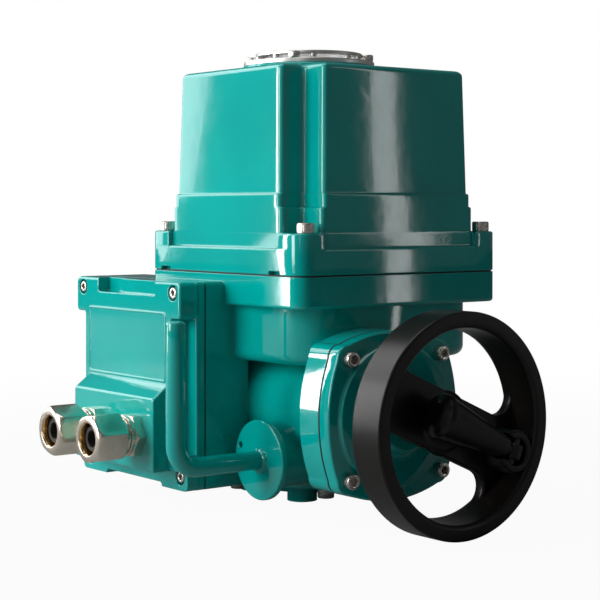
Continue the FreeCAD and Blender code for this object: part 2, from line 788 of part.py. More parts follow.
def worm_thread():
    # One-start right-hand thread; a gap faces the wheel's middle tooth.
    root = worm_pitch - 1.25 * worm_module
    tip = worm_pitch + 0.9 * worm_module
    half = (axial_pitch / 2 - mesh_play) / 2
    half_root = half + 0.42 * worm_module
    half_tip = half - 0.36 * worm_module
    height = worm_turns * axial_pitch
    helix = Part.makeHelix(axial_pitch, height, worm_pitch)
    outline = [(root - 0.4, 0, -half_root), (tip, 0, -half_tip), (tip, 0, half_tip), (root - 0.4, 0, half_root)]
    outline = [Vector(*p) for p in outline]
    thread = Part.Wire(helix).makePipeShell([Part.makePolygon(outline + outline[:1])], True, True)
    turn = Rotation(Y, Z, X).multiply(Rotation(Z, 180))
    thread.Placement = Placement(Vector(-height / 2, -worm_offset, worm_height), turn)
    return thread


def worm_shaft():
    y = -worm_offset
    z = worm_height
    root = worm_pitch - 1.25 * worm_module
    core = rod(root, (-worm_length / 2, y, z), (worm_length / 2, y, z))
    pieces = [rod(rear_shaft_radius, (chamber_back + 3, y, z), (-worm_length / 2, y, z)),
              rod(shaft_radius, (worm_length / 2, y, z), (sleeve_x + sleeve_length + shift_travel + dog_length + 3, y, z)),
              worm_thread()]
    return fuse(core, *pieces)


def worm_wheel():
    # Bronze wheel with slightly helical teeth that follow the worm's lead angle.
    lead = math.atan(worm_module / (2 * worm_pitch))
    twist = wheel_width * math.tan(lead) / wheel_pitch
    phase = -math.pi / 2
    wires = []
    for z, turn in ((0, -twist / 2), (wheel_width, twist / 2)):
        points = gear_blank(wheel_teeth, worm_module, mesh_play, phase + turn)
        points = [Vector(px, py, z) for px, py, _ in points]
        wires.append(Part.makePolygon(points + points[:1]))
    wheel = Part.makeLoft(wires, True, True)
    wheel.Placement = Placement(Vector(0, 0, worm_height - wheel_width / 2), Rotation())
    return wheel.cut(rod(sleeve_outer, (0, 0, 0), (0, 0, worm_height + wheel_width)))


def output_sleeve():
    # Drive sleeve with a double-square bore for the valve stem.
    body = rod(sleeve_outer, (0, 0, pad_height - 6), (0, 0, bowl_bottom - 7))
    journal = rod(journal_radius, (0, 0, bowl_bottom - 8), (0, 0, cavity_floor + 2))
    collar = tube(sleeve_outer + 2.5, sleeve_outer - 1, (0, 0, base_top + 1.3), (0, 0, worm_height - wheel_width / 2))
    lug_low = stop_bolt_z - stop_bolt_radius - 1
    lug_high = stop_bolt_z + stop_bolt_radius + 1
    clear = math.degrees(math.atan2(stop_bolt_tip, stop_bolt_side + stop_bolt_radius)) - 2
    start = math.radians(180 - clear)
    end = math.radians(270 + clear)
    middle = (start + end) / 2
    reach = stop_lug_radius * 3
    fan = [(reach * math.cos(a), reach * math.sin(a), lug_low) for a in (start, middle, end)]
    lug = polygon([(0, 0, lug_low)] + fan).extrude(Vector(0, 0, lug_high - lug_low))
    lug = lug.common(tube(stop_lug_radius, sleeve_outer - 1, (0, 0, lug_low), (0, 0, lug_high)))
    half = drive_square / 2
    low = pad_height - 7
    star = []
    for turn in (0, 45):
        bar = box(-half, half, -half, half, low, low + drive_depth)
        star.append(bar.rotate(Vector(0, 0, 0), Z, turn))
    socket = rod(indicator_shaft_radius, (0, 0, cavity_floor - 12), (0, 0, cavity_floor + 3))
    return cut(fuse(body, journal, collar, lug), socket, *star)


def indicator_shaft():
    top = cover_top + window_boss_height - dial_thickness
    lower = rod(indicator_shaft_radius, (0, 0, cavity_floor - 12), (0, 0, top))
    return lower


def cam(z, angle):
    # Switch cam: a small disc with one lobe that passes the switch plunger.
    half = 20.0
    disc = rod(cam_radius - cam_drop, (0, 0, z), (0, 0, z + cam_thickness))
    reach = cam_radius * 2
    sides = [math.radians(angle - half), math.radians(angle + half)]
    wedge = polygon([(0, 0, z)] + [(reach * math.cos(a), reach * math.sin(a), z) for a in sides])
    lobe = wedge.extrude(Vector(0, 0, cam_thickness)).common(rod(cam_radius, (0, 0, z), (0, 0, z + cam_thickness)))
    hub = rod(9.0, (0, 0, z), (0, 0, z + cam_thickness + 2.5))
    return cut(fuse(disc, lobe, hub), rod(indicator_shaft_radius, (0, 0, z - 1), (0, 0, z + 20)))


def dial():
    low = cover_top + window_boss_height - dial_thickness
    return rod(dial_radius, (0, 0, low), (0, 0, low + dial_thickness))


def pointer():
    low = cover_top + window_boss_height
    bar = box(-dial_radius + 3, dial_radius - 3, -3.2, 3.2, low, low + pointer_height)
    hub = rod(6.0, (0, 0, low), (0, 0, low + pointer_height))
    return fuse(bar, hub)


def motor_case():
    y = -worm_offset
    start = plate_face + motor_bell
    end = plate_face + motor_length - motor_bell
    can = rod(motor_radius, (start, y, motor_z), (end, y, motor_z))
    return can.cut(rod(motor_radius - 4, (start - 1, y, motor_z), (end + 1, y, motor_z)))


def motor_bells():
    y = -worm_offset
    solids = []
    front_end = plate_face + motor_bell
    front = fuse(rod(motor_radius - 0.8, (plate_face, y, motor_z), (front_end, y, motor_z)),
                 rod(motor_spigot, (plate_face - plate_thickness + 0.5, y, motor_z), (plate_face + 1, y, motor_z)))
    rear_start = plate_face + motor_length - motor_bell
    rear = rod(motor_radius - 0.8, (rear_start, y, motor_z), (plate_face + motor_length, y, motor_z))
    for bell in (front, rear):
        hole = rod(motor_shaft_radius + running_gap, (plate_face - 10, y, motor_z), (plate_face + motor_length + 5, y, motor_z))
        solids.append(bell.cut(hole))
    return Part.makeCompound(solids)


def motor_rotor():
    y = -worm_offset
    shaft = rod(motor_shaft_radius, (plate_face - 9, y, motor_z), (plate_face + motor_length + 2, y, motor_z))
    core = rod(motor_radius - 5, (plate_face + motor_bell + 4, y, motor_z), (plate_face + motor_length - motor_bell - 4, y, motor_z))
    return fuse(shaft, core, motor_pinion())


def motor_pinion():
    width = spur_width - 0.5
    return spur_gear(motor_pinion_teeth, spur_module, width, motor_shaft_radius,
                     (plate_face - plate_thickness - width, -worm_offset, motor_z), X, mesh_below(motor_pinion_teeth))


def mesh_below(teeth):
    # Phase that puts a gap straight down, where the mating gear has a tooth straight up.
    return -math.pi / 2 + math.pi / teeth


def idler_gear():
    # Compound gear: the large wheel meets the motor pinion above, the small one the worm's gear below.
    y = -worm_offset
    pin = 3.0 + running_gap
    large_back = plate_face - plate_thickness - 0.5 - (spur_width - 1)
    large = spur_gear(idler_large_teeth, spur_module, spur_width - 1, pin, (large_back, y, idler_z), X,
                      math.pi / 2)
    small = spur_gear(idler_small_teeth, spur_module, spur_width + 2, pin, (large_back - spur_width - 2, y, idler_z), X,
                      mesh_below(idler_small_teeth))
    return fuse(large, small)


def worm_spur():
    back = plate_face - plate_thickness - 0.5 - (spur_width - 1) - spur_width - 1.2
    return spur_gear(worm_spur_teeth, spur_module, spur_width, rear_shaft_radius, (back, -worm_offset, worm_height), X,
                     math.pi / 2)


def gear_plate():
    # Steel plate that carries the motor and the idler pin.
    y = -worm_offset
    low = worm_height + shaft_radius + 6
    plate = box(plate_face - plate_thickness, plate_face, y - 22, y + 22, low, motor_z + motor_radius - 2)
    cuts = [rod(motor_spigot + hole_gap, (plate_face - 10, y, motor_z), (plate_face + 1, y, motor_z)),
            rod(3.0, (plate_face - 10, y, idler_z), (plate_face + 1, y, idler_z))]
    cuts += [rod(m4[0] + hole_gap, (plate_face - 10, y + dy, bowl_bottom - 4), (plate_face + 1, y + dy, bowl_bottom - 4))
             for dy in (-14, 14)]
    return fuse(cut(plate, *cuts), idler_pin())


def idler_pin():
    y = -worm_offset
    end = plate_face - plate_thickness - spur_width - 8
    return fuse(rod(3.0, (end, y, idler_z), (plate_face, y, idler_z)),
                rod(4.2, (end - 1, y, idler_z), (end + 0.6, y, idler_z)))


def clutch_lever():
    # Bent rod: along Y from the clutch to the bend, then straight up to its domed end.
    inner = Vector(lever_x, boss_front + 14.5, lever_z)
    bend_a = Vector(lever_x, -lever_reach + lever_bend, lever_z)
    bend_b = Vector(lever_x, -lever_reach, lever_z + lever_bend)
    mid = Vector(lever_x, -lever_reach + lever_bend * (1 - math.sqrt(0.5)), lever_z + lever_bend * (1 - math.sqrt(0.5)))
    top = Vector(lever_x, -lever_reach, lever_z + lever_rise)
    path = Part.Wire([Part.makeLine(inner, bend_a), Part.Arc(bend_a, mid, bend_b).toShape(), Part.makeLine(bend_b, top)])
    section = Part.Wire(Part.makeCircle(lever_radius, inner, Y))
    bar = path.makePipeShell([section], True, True)
    bar = soften(bar, 1.5, level_edge(lever_z + lever_rise))
    crank = rod(8.0, (lever_x, boss_front + 14.5, lever_z), (lever_x, boss_front + 18.5, lever_z))
    angle = shift_throw * math.sqrt(0.5)
    pin = rod(shift_pin_radius, (lever_x - angle, boss_front + 18, lever_z + angle),
              (lever_x - angle, boss_front + 26, lever_z + angle))
    return fuse(bar, crank, pin)


def lever_guard():
    # Round guard plate on the lever, with its small pin hole.
    plate = rod(guard_radius, (lever_x, guard_y, lever_z), (lever_x, guard_y + guard_thickness, lever_z))
    plate = soften(plate, 0.8, lambda e: e.BoundBox.YLength < 0.01)
    hole_x = lever_x - guard_hole_distance * math.cos(math.radians(guard_hole_angle))
    hole_z = lever_z + guard_hole_distance * math.sin(math.radians(guard_hole_angle))
    return cut(plate, rod(lever_radius, (lever_x, guard_y - 1, lever_z), (lever_x, guard_y + guard_thickness + 1, lever_z)),
               rod(guard_hole_radius, (hole_x, guard_y - 1, hole_z), (hole_x, guard_y + guard_thickness + 1, hole_z)))


def lever_bush():
    front = boss_front - 2.0
    flange = tube(boss_radius - 3, lever_radius + running_gap, (lever_x, front, lever_z), (lever_x, boss_front, lever_z))
    sleeve = tube(lever_bush_radius, lever_radius + running_gap, (lever_x, boss_front - 0.5, lever_z),
                  (lever_x, boss_front + 14, lever_z))
    return fuse(flange, sleeve)


def shift_fork():
    # Ring round the sleeve's groove, with a tail that holds the crank pin in a slot.
    y = -worm_offset
    half = groove_width / 2 - seat_gap
    x = shift_start
    inner = sleeve_radius - groove_depth + seat_gap
    ring = tube(inner + 6.5, inner, (x - half, y, worm_height), (x + half, y, worm_height))
    tail_front = boss_front + 19.0
    tail = box(x - 5.5, x + 5.5, tail_front, tail_front + 6.5, lever_z - 3, worm_height - 12)
    neck = box(x - half, x + half, tail_front, y - 6, worm_height - 20, worm_height - 12)
    slot = box(x - shift_pin_radius - 0.25, x + shift_pin_radius + 0.25, tail_front - 1, tail_front + 8,
               lever_z - 1, lever_z + shift_throw + shift_pin_radius + 2)
    room = rod(inner, (x - 10, y, worm_height), (x + 10, y, worm_height))
    return cut(fuse(ring, tail, neck), slot, room)


def dogs(x0, x1, phase):
    # Two dog teeth of a quarter turn less their play, on opposite sides.
    teeth = []
    for turn in (0, 180):
        reach = 30.0
        a = math.radians(phase + turn - 42)
        b = math.radians(phase + turn + 42)
        y = -worm_offset
        z = worm_height
        wedge = polygon([(x0, y, z), (x0, y + reach * math.cos(a), z + reach * math.sin(a)),
                         (x0, y + reach * math.cos(b), z + reach * math.sin(b))]).extrude(Vector(x1 - x0, 0, 0))
        teeth.append(wedge.common(tube(sleeve_radius - 0.5, 8.5, (x0, y, z), (x1, y, z))))
    return teeth


def clutch_sleeve():
    y = -worm_offset
    z = worm_height
    end = sleeve_x + sleeve_length
    body = rod(sleeve_radius, (sleeve_x, y, z), (end, y, z))
    groove = tube(sleeve_radius + 2, sleeve_radius - groove_depth, (shift_start - groove_width / 2, y, z),
                  (shift_start + groove_width / 2, y, z))
    bore = rod(shaft_radius + running_gap, (sleeve_x - 1, y, z), (end + 10, y, z))
    return cut(fuse(body, *dogs(end - 0.5, end + dog_length, 0)), groove, bore)


hand_dog_x = sleeve_x + sleeve_length + dog_length + dog_gap


def hand_shaft():
    # Handwheel shaft with the dog half that the sleeve engages.
    y = -worm_offset
    z = worm_height
    hub_start = hand_dog_x + dog_length
    hub = rod(sleeve_radius, (hub_start, y, z), (hub_start + 8, y, z))
    shaft = rod(hand_shaft_radius, (hub_start + 7, y, z), (hand_shaft_end, y, z))
    shape = fuse(hub, shaft, *dogs(hand_dog_x, hub_start + 0.5, 90))
    pilot = rod(shaft_radius + hole_gap, (hub_start - 2, y, z), (hub_start + 5, y, z))
    return shape.cut(pilot)


def radial(distance, across=0.0, x=0.0):
    # Point in the handwheel's plane, along the fold direction and across it.
    a = math.radians(fold_angle)
    return Vector(x, -worm_offset + distance * math.cos(a) - across * math.sin(a),
                  worm_height + distance * math.sin(a) + across * math.cos(a))


def handwheel():
    y = -worm_offset
    z = worm_height
    back = wheel_face - rim_depth
    rim_inner = wheel_radius - rim_width
    profile = [(back, wheel_radius - 2.5), (back + 2.5, wheel_radius), (wheel_face - 3, wheel_radius), (wheel_face, wheel_radius - 2.5),
               (wheel_face, rim_inner + 2.5), (wheel_face - 3, rim_inner), (back + 3, rim_inner - 1), (back, rim_inner + 1)]
    rim = polygon([(px, y + pr, z) for px, pr in profile]).revolve(Vector(0, y, z), X, 360)
    web_back = web_front - web_thickness
    disc = rod(rim_inner + 3, (web_back, y, z), (web_front, y, z))
    reach = rim_inner - 1.0
    openings = []
    for side in (-1, 1):
        ring = rod(reach, (web_back - 1, y, z), (web_front + 1, y, z))
        slab = polygon([radial(-80, side * web_half, web_back - 1), radial(80, side * web_half, web_back - 1),
                        radial(80, side * 90, web_back - 1), radial(-80, side * 90, web_back - 1)])
        half_moon = ring.common(slab.extrude(Vector(web_thickness + 2, 0, 0)))
        edges = [e for e in half_moon.Edges if abs(e.tangentAt(e.FirstParameter).x) > 0.9]
        openings.append(half_moon.makeFillet(10.0, edges))
    hub = cone(hub_radius, hub_radius + hub_flare, (hub_back, y, z), (web_front, y, z))
    pivot = radial(fold_distance, 0, 0)
    boss = rod(fold_boss_radius, (web_back, pivot.y, pivot.z), (wheel_face - 0.5, pivot.y, pivot.z))
    shape = cut(fuse(disc, rim), *openings)
    shape = fuse(shape, hub, boss)
    eye = rod(fold_eye_radius, (fold_axis_x - 6.5, pivot.y, pivot.z), (wheel_face + 1, pivot.y, pivot.z))
    half = spindle_radius + seat_gap
    slot = polygon([radial(fold_distance - 30, -half, 0), radial(fold_distance, -half, 0),
                    radial(fold_distance, half, 0), radial(fold_distance - 30, half, 0)])
    slot = slot.extrude(Vector(30, 0, 0))
    slot.translate(Vector(fold_axis_x - half, 0, 0))
    pin = rod(fold_pin_radius, radial(fold_distance, -fold_boss_radius + 1, fold_axis_x),
              radial(fold_distance, fold_boss_radius - 1, fold_axis_x))
    bed = rod(grip_small_radius + 1.5, radial(fold_distance - 5.5, 0, fold_axis_x),
              radial(fold_distance - fold_boss_radius - 8, 0, fold_axis_x))
    bore = rod(hand_shaft_radius, (hub_back - 1, y, z), (hand_shaft_end, y, z))
    return cut(shape, eye, slot, pin, bed, bore)


def fold_pin():
    reach = fold_boss_radius - 1.5
    return rod(fold_pin_radius, radial(fold_distance, -reach, fold_axis_x), radial(fold_distance, reach, fold_axis_x))


grip_start = fold_distance - 8.0
grip_end = grip_start - grip_length


def handle_spindle():
    # Knuckle on the fold pin, with the spindle that the grip turns on and its end screw.
    knuckle = rod(5.0, radial(fold_distance, -knuckle_width / 2, fold_axis_x), radial(fold_distance, knuckle_width / 2, fold_axis_x))
    spindle = rod(spindle_radius, radial(fold_distance - 2, 0, fold_axis_x), radial(grip_end + 2.5, 0, fold_axis_x))
    head = rod(5.0, radial(grip_end + 6.0, 0, fold_axis_x), radial(grip_end + 2.0, 0, fold_axis_x))
    hole = rod(fold_pin_radius + running_gap, radial(fold_distance, -knuckle_width, fold_axis_x),
               radial(fold_distance, knuckle_width, fold_axis_x))
    return fuse(knuckle, spindle, head).cut(hole)


def handle_grip():
    # Tapered grip that spins on the spindle.
    small = radial(grip_start, 0, fold_axis_x)
    large = radial(grip_end, 0, fold_axis_x)
    along = (small - large).normalize()
    body = Part.makeCone(grip_big_radius, grip_small_radius, grip_length, large, along)
    body = body.makeFillet(grip_dome, [min((e for e in body.Edges if e.Length > 40), key=lambda e: (e.CenterOfMass - large).Length)])
    bore = rod(spindle_radius + running_gap, small + along, large - along)
    pocket = rod(5.0 + seat_gap, large - along, large + along * 6.1)
    return cut(body, bore, pocket)


def gland_axis(px, distance):
    return (px, box_face - hood_reach - distance, gland_z)


def gland_hexagon(flats, px, start, end, turn):
    # Hexagonal bar on a gland's axis with one corner turned up from the level by an angle.
    bar = hexagon(flats, gland_axis(px, start), gland_axis(px, end))
    return bar.rotate(Vector(px, 0, gland_z), Y, turn)


def gland_body(px):
    # Hexagon against the hood, threaded stem through its wall and the neck inside the cap nut.
    corner = gland_base_hex / math.sqrt(3)
    hexa = gland_hexagon(gland_base_hex, px, 0, gland_hex_width, gland_body_turn)
    hexa = hexa.common(cone(corner + 3.5, corner - 0.6, gland_axis(px, -1), gland_axis(px, gland_hex_width)))
    stem = rod(gland_thread_radius - running_gap, gland_axis(px, -box_wall - 5), gland_axis(px, 1))
    neck = rod(gland_neck_radius, gland_axis(px, gland_hex_width - 1), gland_axis(px, gland_hex_width + gland_neck))
    collar = rod(gland_collar_radius, gland_axis(px, gland_hex_width - 1), gland_axis(px, gland_hex_width + gland_collar))
    nose = rod(gland_mouth, gland_axis(px, gland_hex_width + 1), gland_axis(px, gland_hex_width + gland_neck + 6))
    bore = rod(gland_bore + 1.2, gland_axis(px, -box_wall - 6), gland_axis(px, 40))
    return cut(fuse(hexa, stem, collar, neck, nose), bore)


def gland_nut(px, turn):
    # Cap nut: hexagonal, with a rounded shoulder and a coned mouth.
    start = gland_hex_width + gland_neck - gland_nut_lap
    end = gland_hex_width + gland_neck + gland_cap
    corner = gland_hex / math.sqrt(3)
    blank = rod(corner, gland_axis(px, start), gland_axis(px, end))
    blank = soften(blank, gland_shoulder, lambda e: abs(e.CenterOfMass.y - gland_axis(px, end)[1]) < 0.01)
    blank = soften(blank, 1.0, lambda e: abs(e.CenterOfMass.y - gland_axis(px, start)[1]) < 0.01)
    body = gland_hexagon(gland_hex, px, start, end, turn).common(blank)
    inner = gland_hex_width + gland_neck + 6
    room = rod(gland_neck_radius + running_gap, gland_axis(px, start - 1), gland_axis(px, inner + 0.5))
    mouth = cone(gland_mouth - 2.0, gland_mouth, gland_axis(px, inner), gland_axis(px, end + 0.01))
    return cut(body, room, mouth)


def gland_seal(px):
    start = gland_hex_width + gland_neck + 6.5
    end = start + gland_seal_length
    return tube(gland_mouth - 2.2, gland_bore, gland_axis(px, start), gland_axis(px, end))


def gland_locknut(px):
    start = -box_wall
    nut = hexagon(gland_locknut_hex, gland_axis(px, start - 3.5), gland_axis(px, start))
    return nut.cut(rod(gland_thread_radius, gland_axis(px, start - 4), gland_axis(px, start + 1)))


def instrument_deck():
    # Sheet deck above the motor, on four posts from the housing floor, carrying switches and feedback.
    half = cavity_half - deck_room
    plate = square_block(half, deck_height, deck_height + deck_thickness, 8.0)
    posts = deck_posts()
    cuts = [rod(indicator_shaft_radius + 2, (0, 0, deck_height - 1), (0, 0, deck_height + 5)),
            rod(3.5, (0, feedback_distance, deck_height - 1), (0, feedback_distance, deck_height + 5))]
    return fuse(cut(plate, *cuts), switch_bracket(), *posts)


def deck_posts():
    reach = cavity_half - deck_room - post_inset
    places = [(case_x + reach, case_y + reach), (case_x + reach, case_y - reach), (case_x - reach + 4, case_y + reach)]
    return [rod(4.0, (px, py, cavity_floor), (px, py, deck_height + 0.5)) for px, py in places]


def limit_switches():
    # Two micro switches, one at each cam, with their bodies on a common bracket.
    solids = []
    for z in (cam_height, cam_height + cam_thickness + 4):
        x0 = cam_radius + 7
        body = box(x0, x0 + switch_depth, -switch_length / 2, switch_length / 2, z - 1, z + switch_width - 2)
        middle = z + cam_thickness / 2
        solids.append(body.cut(rod(plunger_radius + running_gap, (x0 - 1, 0, middle), (x0 + 6, 0, middle))))
    return Part.makeCompound(solids)


def switch_plunger(z):
    # Sprung plunger that stands just clear of the cam's lobe.
    middle = z + cam_thickness / 2
    start = cam_radius + seat_gap
    return rod(plunger_radius, (start, 0, middle), (cam_radius + 7 + 6 - plunger_travel - 0.3, 0, middle))


def switch_bracket():
    x0 = cam_radius + 7
    high = cam_height + 2 * cam_thickness + 16
    post = box(x0 + switch_depth, x0 + switch_depth + 3, -switch_length / 2, switch_length / 2,
               deck_height + deck_thickness, high)
    foot = box(x0 + switch_depth, x0 + switch_depth + 14, -switch_length / 2, switch_length / 2,
               deck_height + deck_thickness, deck_height + deck_thickness + 2.5)
    return fuse(post, foot)


def feedback_drive():
    return spur_gear(feedback_drive_teeth, feedback_module, 4.0, indicator_shaft_radius, (0, 0, feedback_z), Z, math.pi / 2)


def feedback_gear():
    gear = spur_gear(feedback_teeth, feedback_module, 4.0, 0.5, (0, feedback_distance, feedback_z), Z, mesh_below(feedback_teeth))
    spindle = rod(2.5, (0, feedback_distance, feedback_z - 6), (0, feedback_distance, feedback_z + 4))
    return fuse(gear, spindle)


def feedback_pot():
    low = feedback_z - 6
    body = rod(8.5, (0, feedback_distance, low - 9), (0, feedback_distance, deck_height))
    return cut(body, rod(2.5 + running_gap, (0, feedback_distance, low), (0, feedback_distance, deck_height + 10)))


def capacitor():
    px = case_x + capacitor_radius + 1
    py = case_y + cavity_half - capacitor_radius - wall_room
    can = rod(capacitor_radius, (px, py, cavity_floor), (px, py, cavity_floor + capacitor_length))
    return soften(can, 1.5, level_edge(cavity_floor + capacitor_length))


def terminal_strip():
    # Terminal block on the back wall of the terminal box, with its row of wire clamps.
    back = box_back - box_wall
    left = box_left + 14
    right = box_right - 14
    body = box(left, right, back - 14, back, 78.0, 96.0)
    count = 8
    step = (right - left) / count
    cuts = []
    for i in range(count):
        middle = left + step * (i + 0.5)
        cuts.append(rod(2.2, (middle, back - 15, 87.0), (middle, back - 9, 87.0)))
        cuts.append(box(middle - 2.4, middle + 2.4, back - 12, back - 5, 77.0, 81.0))
    return cut(body, *cuts)


def control_board():
    # Circuit board on the deck, behind the cams.
    half = board_half
    low = deck_height + deck_thickness
    px = case_x - 8
    py = case_y - cavity_half + board_width / 2 + wall_room - 1
    board = box(px - half, px + half, py - board_width / 2, py + board_width / 2, low + 6, low + 7.6)
    posts = [rod(2.5, (px + dx, py + dy, low), (px + dx, py + dy, low + 6)) for dx, dy in corners(half - 5, 10)]
    relays = [box(px - 26 + 18 * i, px - 13 + 18 * i, py - 9, py + 9, low + 7.6, low + 22) for i in range(3)]
    return fuse(board, *(posts + relays))


def stop_bolts():
    # Two travel-stop bolts with lock nuts, through the back of the drum.
    solids = []
    for x in (-stop_bolt_side, stop_bolt_side):
        bolt = rod(stop_bolt_radius, (x, stop_bolt_tip, stop_bolt_z), (x, stop_bolt_tip + stop_bolt_length, stop_bolt_z))
        nut = hexagon(13.0, (x, drum_radius + 1, stop_bolt_z), (x, drum_radius + 7, stop_bolt_z))
        solids.append(fuse(bolt, nut))
    return Part.makeCompound(solids)


def write(name, shape):
    if shape.isNull() or not shape.isValid():
        print("check", name)
    shape.exportStep("parts/" + name + ".step")


def group(solids):
    return Part.makeCompound(solids)


os.makedirs("parts", exist_ok=True)

y_axis = -worm_offset

write("main_housing", main_housing())
write("base_plate", base_plate())
write("top_cover", top_cover())
write("case_gasket", case_gasket())
write("terminal_lid", terminal_lid())
write("terminal_gasket", box_gasket())
write("end_cap", end_cap())
write("end_cap_gasket", end_gasket())
write("window_glass", window_glass())
write("window_ring", window_ring())

write("base_screws", group([socket_screw(m6, (px, py, pad_height), (0, 0, 1), base_screw_grip) for px, py in base_screws]))
write("cover_screws", group([socket_screw(m6, (px, py, parting + lug_height), (0, 0, -1), cover_screw_grip)
                             for px, py in cover_screws]))
write("end_cap_screws", group([socket_screw(m5, (end_face, py, pz), (-1, 0, 0), cap_screw_grip) for py, pz in cap_screws]))
write("terminal_lid_screws", group([socket_screw(m4, (px, box_face + setback + m4[2], pz), (0, 1, 0),
                                                 box_front - box_face - setback - m4[2] + 9.0)
                                    for px, pz, setback in box_screws]))
write("window_screws", group([socket_screw(m4, (px, py, cover_top + window_boss_height + window_flange_thickness), (0, 0, -1), 7.5)
                              for px, py in window_screws]))
write("stop_bolts", stop_bolts())

write("lower_bush", tube(sleeve_outer + bush_wall, sleeve_outer + running_gap, (0, 0, pad_height - 3), (0, 0, base_top)))
write("upper_bush", tube(journal_radius + bush_wall, journal_radius + running_gap, (0, 0, bowl_bottom - 6), (0, 0, cavity_floor)))
write("worm_wheel", worm_wheel())
write("output_sleeve", output_sleeve())
write("indicator_shaft", indicator_shaft())
write("open_cam", cam(cam_height, -90.0))
write("close_cam", cam(cam_height + cam_thickness + 4, 0.0))
write("feedback_drive_gear", feedback_drive())
write("indicator_dial", dial())
write("indicator_pointer", pointer())

write("worm_shaft", worm_shaft())
write("worm_spur_gear", worm_spur())
write("rear_bearing", bearing(rear_bearing_radius, rear_shaft_radius + running_gap, (rear_bearing_x, y_axis, worm_height),
                              (rear_bearing_x + rear_bearing_width, y_axis, worm_height)))
write("middle_bearing", bearing(mid_bearing_radius, shaft_radius + running_gap, (mid_bearing_x, y_axis, worm_height),
                                (mid_bearing_end, y_axis, worm_height)))
write("front_bearing", bearing(mid_bearing_radius, hand_shaft_radius + running_gap, (cap_back - cap_spigot, y_axis, worm_height),
                               (cap_back - cap_spigot + cap_bearing_width, y_axis, worm_height)))
write("shaft_seal", tube(hand_shaft_radius + 4, hand_shaft_radius + running_gap,
                         (end_face + cap_nose_length - 5, y_axis, worm_height), (end_face + cap_nose_length, y_axis, worm_height)))
write("clutch_sleeve", clutch_sleeve())
write("shift_fork", shift_fork())
write("hand_shaft", hand_shaft())
write("handwheel", handwheel())
write("fold_pin", fold_pin())
write("handle_spindle", handle_spindle())
write("handle_grip", handle_grip())
write("clutch_lever", clutch_lever())
write("lever_guard", lever_guard())
write("lever_bush", lever_bush())

write("gear_plate", gear_plate())
write("idler_gear", idler_gear())
write("motor_case", motor_case())
write("motor_end_bells", motor_bells())
write("motor_rotor", motor_rotor())
write("capacitor", capacitor())
write("instrument_deck", instrument_deck())
write("limit_switches", limit_switches())
write("open_switch_plunger", switch_plunger(cam_height))
write("close_switch_plunger", switch_plunger(cam_height + cam_thickness + 4))
write("feedback_gear", feedback_gear())
write("feedback_pot", feedback_pot())
write("control_board", control_board())
write("terminal_strip", terminal_strip())

write("gland_bodies", group([gland_body(px) for px in gland_places]))
write("gland_nuts", group([gland_nut(px, turn) for px, turn in zip(gland_places, gland_nut_turns)]))
write("gland_seals", group([gland_seal(px) for px in gland_places]))
write("gland_locknuts", group([gland_locknut(px) for px in gland_places]))
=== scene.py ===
import json
import math

import bmesh
import bpy
import numpy as np
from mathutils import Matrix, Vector


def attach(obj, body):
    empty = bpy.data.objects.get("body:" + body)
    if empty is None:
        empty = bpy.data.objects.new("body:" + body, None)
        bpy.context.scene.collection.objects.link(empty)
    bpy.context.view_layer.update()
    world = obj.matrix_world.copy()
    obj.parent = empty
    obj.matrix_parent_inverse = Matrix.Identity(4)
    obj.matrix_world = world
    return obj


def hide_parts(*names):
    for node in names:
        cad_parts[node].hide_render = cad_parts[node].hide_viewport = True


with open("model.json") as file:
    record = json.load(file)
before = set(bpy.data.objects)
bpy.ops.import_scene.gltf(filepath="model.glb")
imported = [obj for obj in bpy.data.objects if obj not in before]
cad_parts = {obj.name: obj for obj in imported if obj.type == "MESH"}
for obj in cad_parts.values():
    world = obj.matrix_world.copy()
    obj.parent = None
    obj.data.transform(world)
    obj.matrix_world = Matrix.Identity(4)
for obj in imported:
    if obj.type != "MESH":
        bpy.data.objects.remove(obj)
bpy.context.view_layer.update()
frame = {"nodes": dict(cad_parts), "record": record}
nodes = frame["nodes"]
mm = 0.001


class Wire:
    # A socket that can be used in sums: each operator adds one Math node.
    def __init__(self, shop, socket):
        self.shop, self.socket = shop, socket

    def join(self, kind, *values):
        return self.shop.node("ShaderNodeMath", {"operation": kind}, dict(enumerate((self,) + values)))

    def __add__(self, other): return self.join("ADD", other)
    def __sub__(self, other): return self.join("SUBTRACT", other)
    def __mul__(self, other): return self.join("MULTIPLY", other)
    def __pow__(self, other): return self.join("POWER", other)
    def atLeast(self, other): return self.join("MAXIMUM", other)


